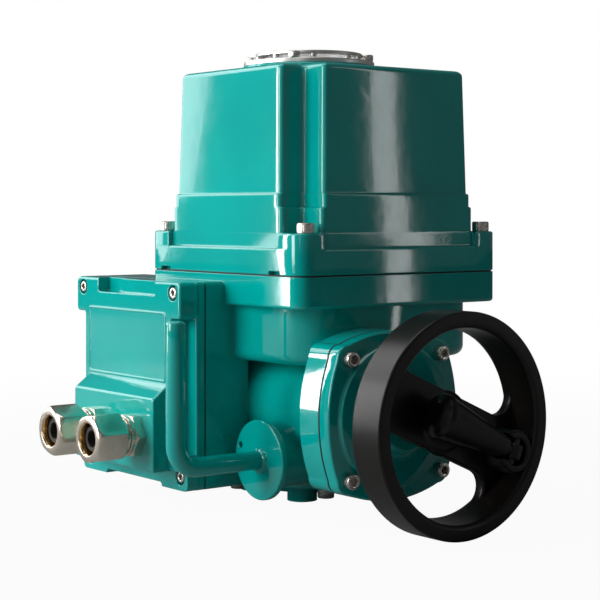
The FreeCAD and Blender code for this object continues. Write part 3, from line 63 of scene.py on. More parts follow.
class Shop:
    # One material's node tree and the few calls that fill it.
    def __init__(self, name, tree=None):
        if tree is None:
            self.material = bpy.data.materials.new(name)
            self.material.use_nodes = True
            tree = self.material.node_tree
        self.tree = tree
        tree.nodes.clear()

    def node(self, kind, settings=None, inputs=None, output=0):
        made = self.tree.nodes.new(kind)
        for key, value in (settings or {}).items():
            setattr(made, key, value)
        for key, value in (inputs or {}).items():
            if isinstance(value, Wire):
                self.tree.links.new(value.socket, made.inputs[key])
            else:
                made.inputs[key].default_value = value
        return Wire(self, made.outputs[output]) if made.outputs else made

    def place(self):
        return self.node("ShaderNodeTexCoord", output="Object")

    def split(self, vector):
        made = self.node("ShaderNodeSeparateXYZ", inputs={0: vector}).socket.node
        return [Wire(self, made.outputs[i]) for i in range(3)]

    def noise(self, vector, scale, detail=2.0, rough=0.5):
        return self.node("ShaderNodeTexNoise", None, {"Vector": vector, "Scale": scale, "Detail": detail,
                                                      "Roughness": rough})

    def mix(self, factor, first, second):
        return self.node("ShaderNodeMix", {"data_type": "RGBA"}, {"Factor": factor, 6: first, 7: second}, 2)

    def step(self, value, low, high):
        return self.node("ShaderNodeMapRange", {"interpolation_type": "SMOOTHSTEP"},
                         {"Value": value, "From Min": low, "From Max": high})

    def stretch(self, vector, scale=(1, 1, 1), turn=(0, 0, 0), shift=(0, 0, 0)):
        return self.node("ShaderNodeMapping", None, {"Vector": vector, "Location": shift, "Rotation": turn,
                                                     "Scale": scale})

    def relief(self, height, depth, normal):
        return self.node("ShaderNodeBump", None, {"Height": height, "Distance": depth, "Strength": 1.0,
                                                  "Normal": normal})

    def roundEdge(self, radius, samples=6):
        return self.node("ShaderNodeBevel", {"samples": samples}, {"Radius": radius})

    def finish(self, **inputs):
        surface = self.node("ShaderNodeBsdfPrincipled", None,
                            {key.replace("_", " "): value for key, value in inputs.items()})
        self.node("ShaderNodeOutputMaterial", None, {"Surface": surface})
        return self.material


def colour(r, g, b):
    return (r, g, b, 1.0)


enamel = {"base": (0.0, 0.385, 0.35), "shade": (0.0, 0.33, 0.305), "edge": 0.9 * mm, "gloss": 0.03,
          "waves": 0.14, "peel": 0.03}


def makeEnamel(name):
    # Thick glossy paint on a casting: slow waves from the casting, fine orange peel, a few specks.
    shop = Shop(name)
    spot = shop.place()
    patch = shop.noise(spot, 14.0, 3.0)
    peel = shop.noise(spot, 900.0, 1.0)
    waves = shop.noise(spot, 55.0, 2.0)
    speck = shop.node("ShaderNodeTexVoronoi", None, {"Vector": spot, "Scale": 160.0})
    dust = shop.step(speck, 0.10, 0.04)
    tone = shop.mix(shop.step(patch, 0.3, 0.75), colour(*enamel["base"]), colour(*enamel["shade"]))
    tone = shop.mix(dust * 0.12, tone, colour(0.02, 0.5, 0.46))
    height = waves * enamel["waves"] + peel * enamel["peel"]
    normal = shop.relief(height, 0.35 * mm, shop.roundEdge(enamel["edge"]))
    rough = shop.noise(spot, 30.0, 2.0) * 0.03 + enamel["gloss"]
    return shop.finish(Base_Color=tone, Roughness=rough, Normal=normal, Coat_Weight=0.35, Coat_Roughness=0.02,
                       Specular_IOR_Level=0.5)


def makeMetal(name, tint, dark, rough, grain=(1, 1, 1), edge=0.3 * mm, scratch=0.12):
    # Bare or plated metal with fine directional marks.
    shop = Shop(name)
    spot = shop.place()
    streak = shop.noise(shop.stretch(spot, grain), 700.0, 3.0, 0.65)
    cloud = shop.noise(spot, 90.0, 2.0)
    tone = shop.mix(shop.step(cloud, 0.35, 0.7), colour(*tint), colour(*dark))
    normal = shop.relief(streak, 0.02 * mm, shop.roundEdge(edge, 4))
    return shop.finish(Base_Color=tone, Metallic=1.0, Roughness=streak * scratch + rough, Normal=normal)


# the two gland mouths in metres: middle between them, half their distance, height, radius and depth
mouths = {"middle": 0.0305, "apart": 0.0225, "height": 0.0455, "radius": (-0.0099, -0.0094), "depth": (0.146, 0.1465)}


def makePlating(name):
    # Nickel on the outside of the glands, bare brass inside their mouths.
    shop = Shop(name)
    spot = shop.place()
    x, y, z = shop.split(spot)
    across = (((x + mouths["middle"]) ** 2.0) ** 0.5 - mouths["apart"]) ** 2.0
    reach = (across + (z - mouths["height"]) ** 2.0) ** 0.5
    mouth = shop.step(reach * -1.0, *mouths["radius"]) * shop.step(y * -1.0, *mouths["depth"])
    cloud = shop.noise(spot, 90.0, 2.0)
    tone = shop.mix(shop.step(cloud, 0.35, 0.7), colour(0.80, 0.71, 0.61), colour(0.68, 0.59, 0.49))
    tone = shop.mix(mouth, tone, colour(0.72, 0.5, 0.22))
    fine = shop.noise(spot, 700.0, 3.0, 0.65)
    normal = shop.relief(fine, 0.02 * mm, shop.roundEdge(0.3 * mm, 4))
    return shop.finish(Base_Color=tone, Metallic=1.0, Roughness=fine * 0.08 + 0.16, Normal=normal)


def makePlastic(name, tint, rough, bump=0.02, scale=1500.0, edge=0.5 * mm, coat=0.0, sheen=(0.03, 0.02, 0.015),
                shine=0.5):
    shop = Shop(name)
    spot = shop.place()
    grain = shop.noise(spot, scale, 2.0)
    cloud = shop.noise(spot, 40.0, 3.0)
    tone = shop.mix(shop.step(cloud, 0.4, 0.8), colour(*tint),
                    colour(*[t * 0.6 + s * 0.4 for t, s in zip(tint, sheen)]))
    normal = shop.relief(grain, bump * mm, shop.roundEdge(edge))
    return shop.finish(Base_Color=tone, Roughness=cloud * 0.08 + rough, Normal=normal, Coat_Weight=coat,
                       Coat_Roughness=0.1, Specular_IOR_Level=shine)


def makeGlass(name):
    shop = Shop(name)
    spot = shop.place()
    smear = shop.noise(spot, 60.0, 2.0)
    return shop.finish(Base_Color=colour(0.93, 0.97, 0.97), Roughness=shop.step(smear, 0.3, 1.0) * 0.06 + 0.02,
                       Transmission_Weight=0.9, IOR=1.45, Alpha=0.45)


finishes = {
    "teal_enamel": makeEnamel("tealEnamel"),
    "stainless_steel": makeMetal("stainlessSteel", (0.66, 0.63, 0.58), (0.46, 0.43, 0.39), 0.2),
    "window_metal": makeMetal("windowRingMetal", (0.82, 0.82, 0.8), (0.68, 0.68, 0.66), 0.3),
    "window_glass": makeGlass("windowGlass"),
    "black_plastic": makePlastic("blackPhenolic", (0.005, 0.004, 0.0035), 0.27, sheen=(0.008, 0.006, 0.005),
                                 shine=0.3),
    "machined_steel": makeMetal("machinedSteel", (0.52, 0.52, 0.52), (0.4, 0.4, 0.4), 0.28, (1, 6, 6)),
    "blackened_steel": makeMetal("blackenedSteel", (0.06, 0.06, 0.06), (0.035, 0.035, 0.035), 0.3, scratch=0.1),
    "bronze": makeMetal("castBronze", (0.62, 0.42, 0.2), (0.45, 0.28, 0.12), 0.32),
    "nickel_brass": makePlating("nickelPlatedBrass"),
    "black_rubber": makePlastic("sealRubber", (0.012, 0.012, 0.012), 0.6),
    "gland_rubber": makePlastic("glandRubber", (0.02, 0.018, 0.016), 0.55),
    "dial_white": makePlastic("dialPlastic", (0.8, 0.8, 0.77), 0.4, sheen=(0.7, 0.7, 0.66)),
    "pointer_red": makePlastic("pointerPlastic", (0.62, 0.05, 0.03), 0.4, sheen=(0.4, 0.03, 0.02)),
    "motor_grey": makePlastic("motorPaint", (0.35, 0.36, 0.37), 0.45, sheen=(0.25, 0.25, 0.25)),
    "capacitor_grey": makeMetal("capacitorCan", (0.7, 0.7, 0.7), (0.6, 0.6, 0.6), 0.3),
    "switch_black": makePlastic("switchPlastic", (0.03, 0.03, 0.03), 0.45),
    "nylon_white": makePlastic("gearNylon", (0.78, 0.78, 0.72), 0.45, sheen=(0.7, 0.7, 0.6)),
    "board_green": makePlastic("boardLacquer", (0.02, 0.2, 0.07), 0.3, sheen=(0.02, 0.12, 0.05)),
    "terminal_cream": makePlastic("terminalPlastic", (0.7, 0.66, 0.5), 0.5, sheen=(0.6, 0.56, 0.4)),
}

for part in frame["record"]["subparts"]:
    mesh = nodes[part["node"]].data
    mesh.materials.clear()
    mesh.materials.append(finishes[part["material_slot"]])
print("finishes on", len(nodes), "parts")


cameraView = {"place": (0.8189, -0.6405, 0.18187), "turn": 52.29, "lens": 96.86, "drop": -0.1544}
lens = bpy.data.cameras.new("camera")
lens.lens, lens.shift_y = cameraView["lens"], cameraView["drop"]
lens.clip_end = 50
camera = bpy.data.objects.new("camera", lens)
camera.location = cameraView["place"]
camera.rotation_euler = (math.radians(90), 0, math.radians(cameraView["turn"]))
bpy.context.scene.collection.objects.link(camera)
bpy.context.scene.camera = camera
bpy.context.scene.view_settings.view_transform = "Standard"

# place, width, height, watts; every lamp faces the middle of the case
lamps = {
    "leftSoftbox": ((-1.417, -0.581, 0.80), 0.80, 1.50, 13.0),
    "leftStrip": ((-0.68, -0.70, 0.30), 0.075, 0.58, 2.6),
    "frontStrip": ((0.86, -1.26, 0.77), 0.055, 1.40, 1.1),
    "frontSoftbox": ((-0.45, -1.75, 0.70), 0.8, 1.3, 29.0),
    "rightStrip": ((1.12, 0.888, 0.35), 0.035, 0.90, 0.4),
    "topSoftbox": ((-0.3, -0.2, 1.7), 1.0, 1.0, 7.0),
}
for name, (place, width, height, power) in lamps.items():
    lamp = bpy.data.lights.new(name, "AREA")
    lamp.shape, lamp.size, lamp.size_y, lamp.energy = "RECTANGLE", width, height, power
    stand = bpy.data.objects.new(name, lamp)
    stand.location = place
    stand.rotation_euler = (Vector((0.02, -0.03, 0.14)) - Vector(place)).to_track_quat("-Z", "Y").to_euler()
    bpy.context.scene.collection.objects.link(stand)

world = bpy.data.worlds.new("studio")
bpy.context.scene.world = world
world.use_nodes = True
shop = Shop("studio", world.node_tree)
rays = shop.node("ShaderNodeLightPath")
seen = Wire(shop, rays.socket.node.outputs["Is Camera Ray"])
shine = Wire(shop, rays.socket.node.outputs["Is Glossy Ray"]).atLeast(
    Wire(shop, rays.socket.node.outputs["Is Transmission Ray"]))
low = shop.node("ShaderNodeBackground", None, {"Color": colour(1, 1, 1),
                                               "Strength": seen * 0.94 + shine * 0.06 + 0.06})
shop.node("ShaderNodeOutputWorld", None, {"Surface": low})

floorMesh = bpy.data.meshes.new("floor")
ringAngle = np.linspace(0, 2 * np.pi, 97)[:-1]
floorPoints = np.stack([6 * np.cos(ringAngle), 6 * np.sin(ringAngle), np.full(96, -0.0002)], 1)
floorMesh.from_pydata(floorPoints.tolist(), [], [list(range(96))])
floor = bpy.data.objects.new("floor", floorMesh)
bpy.context.scene.collection.objects.link(floor)
shop = Shop("palePaper")
rays = shop.node("ShaderNodeLightPath")
seen = Wire(shop, rays.socket.node.outputs["Is Camera Ray"])
fibre = shop.noise(shop.place(), 300.0)
paper = shop.node("ShaderNodeBsdfDiffuse", None, {"Color": shop.mix(fibre, colour(0.36, 0.36, 0.36),
                                                                    colour(0.4, 0.4, 0.4))})
glow = shop.node("ShaderNodeEmission", None, {"Color": colour(1, 1, 1), "Strength": 1.0})
x, y, z = shop.split(shop.place())
away = shop.step((x * x + y * y) ** 0.5, 0.2, 0.9)
sheet = shop.node("ShaderNodeMixShader", None, {0: seen * (away * 0.05 + 0.95), 1: paper, 2: glow})
shop.node("ShaderNodeOutputMaterial", None, {"Surface": sheet})
floorMesh.materials.append(shop.material)
print("camera, lamps and floor ready")


def rounded(points, radii, steps=5, closed=False):
    # Each corner becomes a circular arc, written as a rational quadratic between its two tangent points.
    points = np.asarray(points, float)
    radii = np.broadcast_to(np.asarray(radii, float), len(points))[:, None]
    back, ahead = np.roll(points, 1, 0) - points, np.roll(points, -1, 0) - points
    back = back / np.maximum(np.linalg.norm(back, axis=1, keepdims=True), 1e-9)
    ahead = ahead / np.maximum(np.linalg.norm(ahead, axis=1, keepdims=True), 1e-9)
    turn = np.clip((back * ahead).sum(1, keepdims=True), -1, 0.9999)
    sine, cosine = np.sqrt((1 - turn) / 2), np.sqrt((1 + turn) / 2)
    start, end = points + back * radii * cosine / sine, points + ahead * radii * cosine / sine
    s = np.linspace(0, 1, steps)[None, :, None]
    start, end, corner, sine = start[:, None], end[:, None], points[:, None], sine[:, None]
    weight = (1 - s) ** 2 + 2 * sine * s * (1 - s) + s ** 2
    arcs = ((1 - s) ** 2 * start + 2 * sine * s * (1 - s) * corner + s ** 2 * end) / weight
    if closed:
        return arcs.reshape(-1, points.shape[1])
    return np.concatenate([points[:1], arcs[1:-1].reshape(-1, points.shape[1]), points[-1:]])


def placed(points, origin, along, start=None):
    # Turns local points so that their third axis runs along a direction, and moves them to an origin.
    z = np.asarray(along, float) / np.linalg.norm(along)
    if start is not None:
        guide = np.asarray(start, float)
    else:
        guide = np.array([0, 0, 1.0]) if abs(z[2]) < 0.9 else np.array([1.0, 0, 0])
    x = guide - z * guide.dot(z)
    x = x / np.linalg.norm(x)
    y = np.cross(z, x)
    return np.asarray(origin, float) + points[..., :1] * x + points[..., 1:2] * y + points[..., 2:3] * z


def hexReach(angle):
    # Distance from the middle of a hexagon to its side, where the flats are 2 apart.
    return 1 / np.cos((angle + np.pi / 6) % (np.pi / 3) - np.pi / 6)


def turned(profile, origin, along, steps=48, flats=None, start=None, squeeze=None):
    # Lathe surface: (radius, height) pairs carried round an axis.
    # Rows marked in flats take a hexagon's outline instead.
    profile = np.asarray(profile, float)
    angle = np.linspace(0, 2 * np.pi, steps, endpoint=False)[None, :]
    radius = profile[:, :1] * np.ones_like(angle)
    if flats is not None:
        radius = np.where(np.asarray(flats, bool)[:, None], radius * hexReach(angle), radius)
    if squeeze is not None:
        radius = (radius ** -40.0 + (squeeze * hexReach(angle)) ** -40.0) ** (-1 / 40.0)
    grid = np.stack([radius * np.cos(angle), radius * np.sin(angle), profile[:, 1:2] * np.ones_like(angle)], -1)
    return placed(grid, origin, along, start)


def swept(outline, path, guide, closed=False):
    # Closed outline of (across, up) pairs carried along a path, square to it all the way.
    path = np.asarray(path, float)
    along = np.roll(path, -1, 0) - np.roll(path, 1, 0) if closed else np.gradient(path, axis=0)
    along = along / np.linalg.norm(along, axis=1, keepdims=True)
    side = np.cross(along, guide)
    side = side / np.linalg.norm(side, axis=1, keepdims=True)
    up = np.cross(side, along)
    outline = np.asarray(outline, float)
    if outline.ndim == 2:
        outline = np.broadcast_to(outline, (len(path),) + outline.shape)
    return path[:, None] + outline[..., :1] * side[:, None] + outline[..., 1:2] * up[:, None]


class Skin:
    # Gathers grids of points, in millimetres, into one mesh.
    def __init__(self):
        self.points, self.faces, self.total = [], [], 0

    def grid(self, points, capStart=True, capEnd=True, ringed=False):
        rows, columns = points.shape[:2]
        index = self.total + np.arange(rows * columns).reshape(rows, columns)
        first, second = index, np.roll(index, -1, 1)
        low = [first, second] if ringed else [first[:-1], second[:-1]]
        high = [np.roll(second, -1, 0), np.roll(first, -1, 0)] if ringed else [second[1:], first[1:]]
        self.faces += np.stack(low + high, -1).reshape(-1, 4).tolist()
        if not ringed:
            self.faces += [index[0][::-1].tolist()] if capStart else []
            self.faces += [index[-1].tolist()] if capEnd else []
        self.points.append(points.reshape(-1, 3))
        self.total += rows * columns
        return self


def makePiece(name, skin, body, slot, stands=(), angle=32.0):
    mesh = bpy.data.meshes.new(name)
    mesh.from_pydata((np.concatenate(skin.points) * mm).tolist(), [], skin.faces)
    work = bmesh.new()
    work.from_mesh(mesh)
    bmesh.ops.remove_doubles(work, verts=work.verts, dist=2e-6)
    bmesh.ops.dissolve_degenerate(work, edges=work.edges, dist=1e-6)
    bmesh.ops.recalc_face_normals(work, faces=work.faces)
    work.to_mesh(mesh)
    work.free()
    mesh.shade_smooth()
    mesh.set_sharp_from_angle(angle=math.radians(angle))
    mesh.materials.append(finishes[slot])
    piece = bpy.data.objects.new(name, mesh)
    bpy.context.scene.collection.objects.link(piece)
    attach(piece, body)
    if stands:
        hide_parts(*stands)
    return piece


def carve(piece, *skins):
    # Takes the skins' solids out of a piece and applies the result.
    for skin in skins:
        mesh = bpy.data.meshes.new("cutter")
        mesh.from_pydata((np.concatenate(skin.points) * mm).tolist(), [], skin.faces)
        work = bmesh.new()
        work.from_mesh(mesh)
        bmesh.ops.remove_doubles(work, verts=work.verts, dist=2e-6)
        bmesh.ops.recalc_face_normals(work, faces=work.faces)
        work.to_mesh(mesh)
        work.free()
        cutter = bpy.data.objects.new("cutter", mesh)
        bpy.context.scene.collection.objects.link(cutter)
        step = piece.modifiers.new("carve", "BOOLEAN")
        step.operation, step.object, step.solver = "DIFFERENCE", cutter, "EXACT"
        result = bpy.data.meshes.new_from_object(piece.evaluated_get(bpy.context.evaluated_depsgraph_get()))
        piece.modifiers.clear()
        piece.data = result
        bpy.data.objects.remove(cutter)


def block(x0, x1, y0, y1, z0, z1, edge=0.0):
    # Rounded upright block: one outline carried up through its levels.
    outline = rounded([(x1, y0), (x1, y1), (x0, y1), (x0, y0)], max(edge, 0.001), 5, True)
    rows = [np.column_stack([outline, np.full(len(outline), z)]) for z in (z0, z1)]
    return np.stack(rows)


screwSizes = {  # shank radius, head radius, head height, socket across flats
    "m4": (2.0, 3.5, 4.0, 3.0),
    "m5": (2.5, 4.4, 5.0, 4.0),
    "m6": (3.0, 5.1, 6.0, 5.0),
}


def socketScrew(skin, size, seat, inward, grip):
    # Head and shank in one lathe profile; the socket's rows are hexagons.
    shank, head, height, flats = screwSizes[size]
    outer = rounded([(shank, -grip), (shank, 0), (head - 0.1, 0), (head, 0.6), (head, height),
                     (flats * 0.66, height)],
                    [0, 0.2, 0.3, 0.4, 0.7, 0], 4)
    profile = np.concatenate([[(0.0, -grip)], outer, [(flats / 2 * 1.03, height - 0.25), (flats / 2, height - 0.5),
                                                     (flats / 2, height * 0.42), (0.0, height * 0.36)]])
    hexagon = [False] * (1 + len(outer)) + [True] * 3 + [False]
    skin.grid(turned(profile, seat, [-v for v in inward], 36, hexagon), capStart=False, capEnd=False)
    # fine vertical knurl on the head's side
    ribs = 30
    for k in range(ribs):
        a = 2 * math.pi * k / ribs
        bar = np.array([[(head - 0.12) * math.cos(a), (head - 0.12) * math.sin(a), h] for h in (0.9, height - 0.9)])
        up = -np.asarray(inward, float)
        line = placed(bar, seat, up)
        ring = np.array([(0.26, 0), (0, 0.2), (-0.26, 0), (0, -0.2)])
        skin.grid(swept(ring, line, placed(np.array([[math.cos(a), math.sin(a), 0]]), (0, 0, 0), up)[0]))


def screwSet(name, body, node, size, places, inward, grip):
    skin = Skin()
    for place in places:
        socketScrew(skin, size, place, inward, grip)
    return makePiece(name, skin, body, "stainless_steel", (node,))


caseCentre = (19.5, -5.0)
parting = 142.0
coverTop = 266.0
windowSeat = coverTop + 6.0
wormAxis = (-34.0, 63.0)
lidFront, lidSetback = -115.6, 5.4
cornerSigns = [(-1, -1), (-1, 1), (1, -1), (1, 1)]


def ringPlaces(radius, count, first):
    # Evenly spaced places on a circle, as pairs.
    turns = [math.radians(first + 360 * i / count) for i in range(count)]
    return [(radius * math.cos(t), radius * math.sin(t)) for t in turns]


coverScrewPlaces = [(caseCentre[0] + sx * 72.0, caseCentre[1] + sy * 69.0, parting + 25.0) for sx, sy in cornerSigns]
capScrewPlaces = [(123.0, wormAxis[0] + sy * 34.0, wormAxis[1] + sz * 34.0) for sy, sz in cornerSigns]
baseScrewPlaces = [(px, py, 9.0) for px, py in ringPlaces(46.0, 4, -25.0)]
windowScrewPlaces = [(px, py, windowSeat + 3.0) for px, py in ringPlaces(38.5, 4, -52.0)]
lidScrewPlaces = [(px, lidFront + back + 4, pz) for back, pz in ((lidSetback, 21.5), (0.0, 131.0))
                  for px in (-88.0, 16.5)]
screwSet("coverScrewSet", "housing", "cover_screws", "m6", coverScrewPlaces, (0, 0, -1), 36.0)
screwSet("endCapScrewSet", "housing", "end_cap_screws", "m5", capScrewPlaces, (-1, 0, 0), 19.0)
screwSet("baseScrewSet", "housing", "base_screws", "m6", baseScrewPlaces, (0, 0, 1), 19.0)
screwSet("windowScrewSet", "housing", "window_screws", "m4", windowScrewPlaces, (0, 0, -1), 7.0)
screwSet("lidScrewSet", "housing", "terminal_lid_screws", "m4", lidScrewPlaces, (0, 1, 0), 20.0)
print("screws made")


cover = {"half": 78.5, "corner": 9.0, "sideIn": 3.5, "bodyIn": 5.2, "draft": 1.6, "band": 16.0, "lug": 25.0,
         "lowStep": 40.0, "highStep": 48.0, "notch": (22.0, 19.0), "notchStep": 2.0, "topEdge": 3.5, "ledge": 1.3}


def quarterRound(steps):
    # Pairs that go from (1, 0) to (0, 1) along a quarter of a circle, hollow side out.
    return [(1 - math.sin(a), 1 - math.cos(a)) for a in np.radians(np.linspace(0, 90, steps))]


def coverRow(height, side, lug, notch=None, fillet=2.6):
    # Outline of the cover at one height: four corners, each with five rounded points.
    half, (nx, ny) = cover["half"], cover["notch"]
    h = half - side
    points, rounds = [], []
    for sx, sy in ((1, 1), (-1, 1), (-1, -1), (1, -1)):
        if notch is None:
            k = half - lug
            corner = [(h, half - ny + lug), (k, half - ny + lug), (k, k), (half - nx + lug, k), (half - nx + lug, h)]
            outer, inner = (0.4, 0.8) if side > lug + 1.0 else (0, 0)
            radii = [outer, inner, cover["corner"] - lug * 0.5, inner, outer]
        else:
            ease = max(side - cover["sideIn"], 0)
            ax, ay = half - nx - notch - ease, half - ny - notch - ease
            corner = [(h, ay - 4.5), (h, ay), (ax, ay), (ax, h), (ax - 4.5, h)]
            radii = [0, fillet, 3.2, fillet, 0]
        corner, radii = np.array(corner), np.array(radii)
        piece = corner * (sx, sy)
        points.append(piece if sx * sy > 0 else piece[::-1])
        rounds.append(radii if sx * sy > 0 else radii[::-1])
    outline = rounded(np.concatenate(points), np.concatenate(rounds), 7, True)
    return np.column_stack([outline[:, 0] + caseCentre[0], outline[:, 1] + caseCentre[1],
                            np.full(len(outline), parting + height)])


def coverLevels():
    c = cover
    arc = quarterRound(6)
    rows = [coverRow(0.8, 0.4, 0.4), coverRow(1.2, 0.0, 0.0)]
    rows += [coverRow(c["band"] - c["ledge"] * u, c["ledge"] * v, 0.0) for u, v in arc]
    rows += [coverRow(c["band"] + 1.0 * v, c["sideIn"] - 1.0 * u, 0.0) for u, v in arc]
    rows += [coverRow(c["lug"] - c["ledge"] * u, c["sideIn"], c["ledge"] * v) for u, v in arc]
    rows += [coverRow(c["lug"] + 1.0 * v, c["sideIn"], 0, -1.0 * u) for u, v in arc]
    rows += [coverRow(c["lowStep"] - 1.2 * u, c["sideIn"], 0, 1.2 * v) for u, v in arc]
    rows += [coverRow(c["lowStep"] + 0.8 * v, c["sideIn"], 0, c["notchStep"] - 0.8 * u) for u, v in arc[1:]]
    rows += [coverRow(c["highStep"] - 1.2 * u, c["sideIn"] + 1.0 * v, 0, c["notchStep"] - 1.0 * v) for u, v in arc]
    rows += [coverRow(c["highStep"] + 0.7 * v, c["bodyIn"] - 0.7 * u, 0, c["notchStep"] - 1.0) for u, v in arc[1:]]
    top, last = coverTop - parting, c["bodyIn"] + c["draft"]
    rows += [coverRow(top - c["topEdge"] * u, last + c["topEdge"] * v, 0, c["notchStep"] - 1.0)
             for u, v in quarterRound(8)]
    return np.stack(rows)


coverPiece = makePiece("castCover", Skin().grid(coverLevels()), "housing", "teal_enamel", ("top_cover",), 40.0)
prySlots = {"places": (-59.4, 54.6), "wide": 10.5, "front": -80.0, "back": -74.5, "low": 0.5, "high": 3.0,
            "edge": 0.3}
y0, y1 = caseCentre[1] + prySlots["front"], caseCentre[1] + prySlots["back"]
slots = Skin()
for shift in prySlots["places"]:
    px = caseCentre[0] + shift
    slots.grid(block(px - prySlots["wide"] / 2, px + prySlots["wide"] / 2, y0, y1,
                     parting + prySlots["low"], parting + prySlots["high"], prySlots["edge"]))
carve(coverPiece, slots)


def joined(name, pieces, nodes=()):
    # One piece out of several that overlap.
    work = bmesh.new()
    for piece in pieces:
        work.from_mesh(piece.data)
    mesh = pieces[0].data
    work.to_mesh(mesh)
    work.free()
    for piece in pieces[1:]:
        bpy.data.objects.remove(piece)
    pieces[0].name = name
    mesh.shade_smooth()
    mesh.set_sharp_from_angle(angle=math.radians(34))
    even = pieces[0].modifiers.new("evenNormals", "WEIGHTED_NORMAL")
    even.keep_sharp, even.weight = True, 100
    if nodes:
        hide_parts(*nodes)
    return pieces[0]


def inset(points, depth):
    # Moves every side of a right-angled outline inwards; the outline runs anticlockwise.
    points = np.asarray(points, float)
    edge = np.roll(points, -1, 0) - points
    normal = np.column_stack([-edge[:, 1], edge[:, 0]]) / np.linalg.norm(edge, axis=1, keepdims=True)
    return points + depth * (normal + np.roll(normal, 1, 0))


def bends(points):
    # +1 where a right-angled outline turns outwards, -1 where it turns inwards.
    edge = np.roll(points, -1, 0) - points
    back = np.roll(edge, 1, 0)
    return np.sign(back[:, 0] * edge[:, 1] - back[:, 1] * edge[:, 0])


def plateRows(points, radii, levels, steps=5):
    # Outlines at several depths: each level is (depth along Y, inset), seen from the front as (x, z).
    points = np.asarray(points, float)
    radii = np.broadcast_to(np.asarray(radii, float), len(points))
    rows = []
    for y, depth in levels:
        outline = rounded(inset(points, depth), np.maximum(radii - bends(points) * depth, 0.15), steps, True)
        rows.append(np.column_stack([outline[:, 0], np.full(len(outline), y), outline[:, 1]]))
    return np.stack(rows)


def frontEdge(back, front, radius, steps=5):
    # Levels of a plate whose front edge is a quarter round.
    return [(back, 0.0)] + [(front + radius * u, radius * v) for u, v in quarterRound(steps)]


windowSizes = {"boss": 43.0, "core": 20.0, "well": 27.2, "wellDeep": 4.0, "flange": 42.0, "flangeHigh": 3.0,
               "opening": 27.0, "glass": 30.0, "post": 3.2, "rim": 34.3, "rimHigh": 2.0, "posts": 8}
w = windowSizes
foot, well = coverTop - 1.0, windowSeat - w["wellDeep"]
windowBoss = rounded([(w["core"], foot), (w["boss"], foot), (w["boss"], windowSeat), (w["well"], windowSeat),
                      (w["well"], well), (w["core"], well)], [0, 0, 1.5, 0.5, 0.3, 0], 6)
windowBoss = np.concatenate([[(0, foot)], windowBoss, [(0, well)]])
makePiece("windowBoss", Skin().grid(turned(windowBoss, (0, 0, 0), (0, 0, 1), 96), capStart=False, capEnd=False),
          "housing", "teal_enamel")
low, high = windowSeat, windowSeat + w["flangeHigh"]
top = high + w["post"]
clampRow = [(w["opening"], low), (w["flange"], low), (w["flange"], high), (w["rim"] + 0.8, high),
            (w["rim"] + 0.2, high + 0.5), (w["glass"] + 0.1, high + 0.5), (w["glass"] + 0.1, high - 1.5),
            (w["opening"], high - 1.5)]
topRow = [(w["opening"], top), (w["rim"], top), (w["rim"], top + w["rimHigh"]),
          (w["opening"] + 0.6, top + w["rimHigh"])]
ringSkin = Skin()
for corners, radii in ((clampRow, [0.2, 0.3, 0.9, 0.3, 0.3, 0.2, 0.1, 0.2]), (topRow, [0.2, 0.3, 0.7, 0.4])):
    ringSkin.grid(turned(rounded(corners, radii, 5, True), (0, 0, 0), (0, 0, 1), 120), ringed=True)
for px, py in ringPlaces((w["rim"] + w["glass"]) / 2, w["posts"], 12.0):
    ringSkin.grid(turned([(2.3, high - 0.4), (2.3, high + 0.4), (1.9, high + 0.9), (1.9, top + 0.4)], (px, py, 0),
                         (0, 0, 1), 20))
makePiece("windowClamp", ringSkin, "housing", "window_metal", ("window_ring",))
print("cover made")


capSizes = {"back": 114.5, "face": 123.0, "half": 42.0, "bulge": 6.5, "corner": 8.0, "edge": 1.3, "ring": 41.0,
            "ringHigh": 2.5, "nose": 19.0, "noseRoot": 22.0, "noseLong": 11.0, "bore": 7.2}


def squareEnd(steps=17):
    # Bulging square with round corners, as (y, z) about the worm axis.
    c = capSizes
    chord = c["half"] - c["corner"]
    big = (chord ** 2 + c["bulge"] ** 2) / (2 * c["bulge"])
    turn = math.asin(chord / big)
    a = np.linspace(-turn, turn, steps)
    side = np.column_stack([c["half"] + c["bulge"] - big + big * np.cos(a), big * np.sin(a)])
    a = np.radians(np.linspace(0, 90, 7))[1:-1]
    corner = np.column_stack([chord + c["corner"] * np.cos(a), chord + c["corner"] * np.sin(a)])
    quarter = np.concatenate([side, corner])
    return np.concatenate([quarter @ np.array([[math.cos(t), math.sin(t)], [-math.sin(t), math.cos(t)]])
                           for t in np.radians([0, 90, 180, 270])])


def endRows(levels):
    outline = squareEnd()
    reach = np.linalg.norm(outline, axis=1, keepdims=True)
    rows = []
    for x, depth in levels:
        shape = outline * (1 - depth / reach)
        rows.append(np.column_stack([np.full(len(shape), x), shape[:, 0] + wormAxis[0], shape[:, 1] + wormAxis[1]]))
    return np.stack(rows)


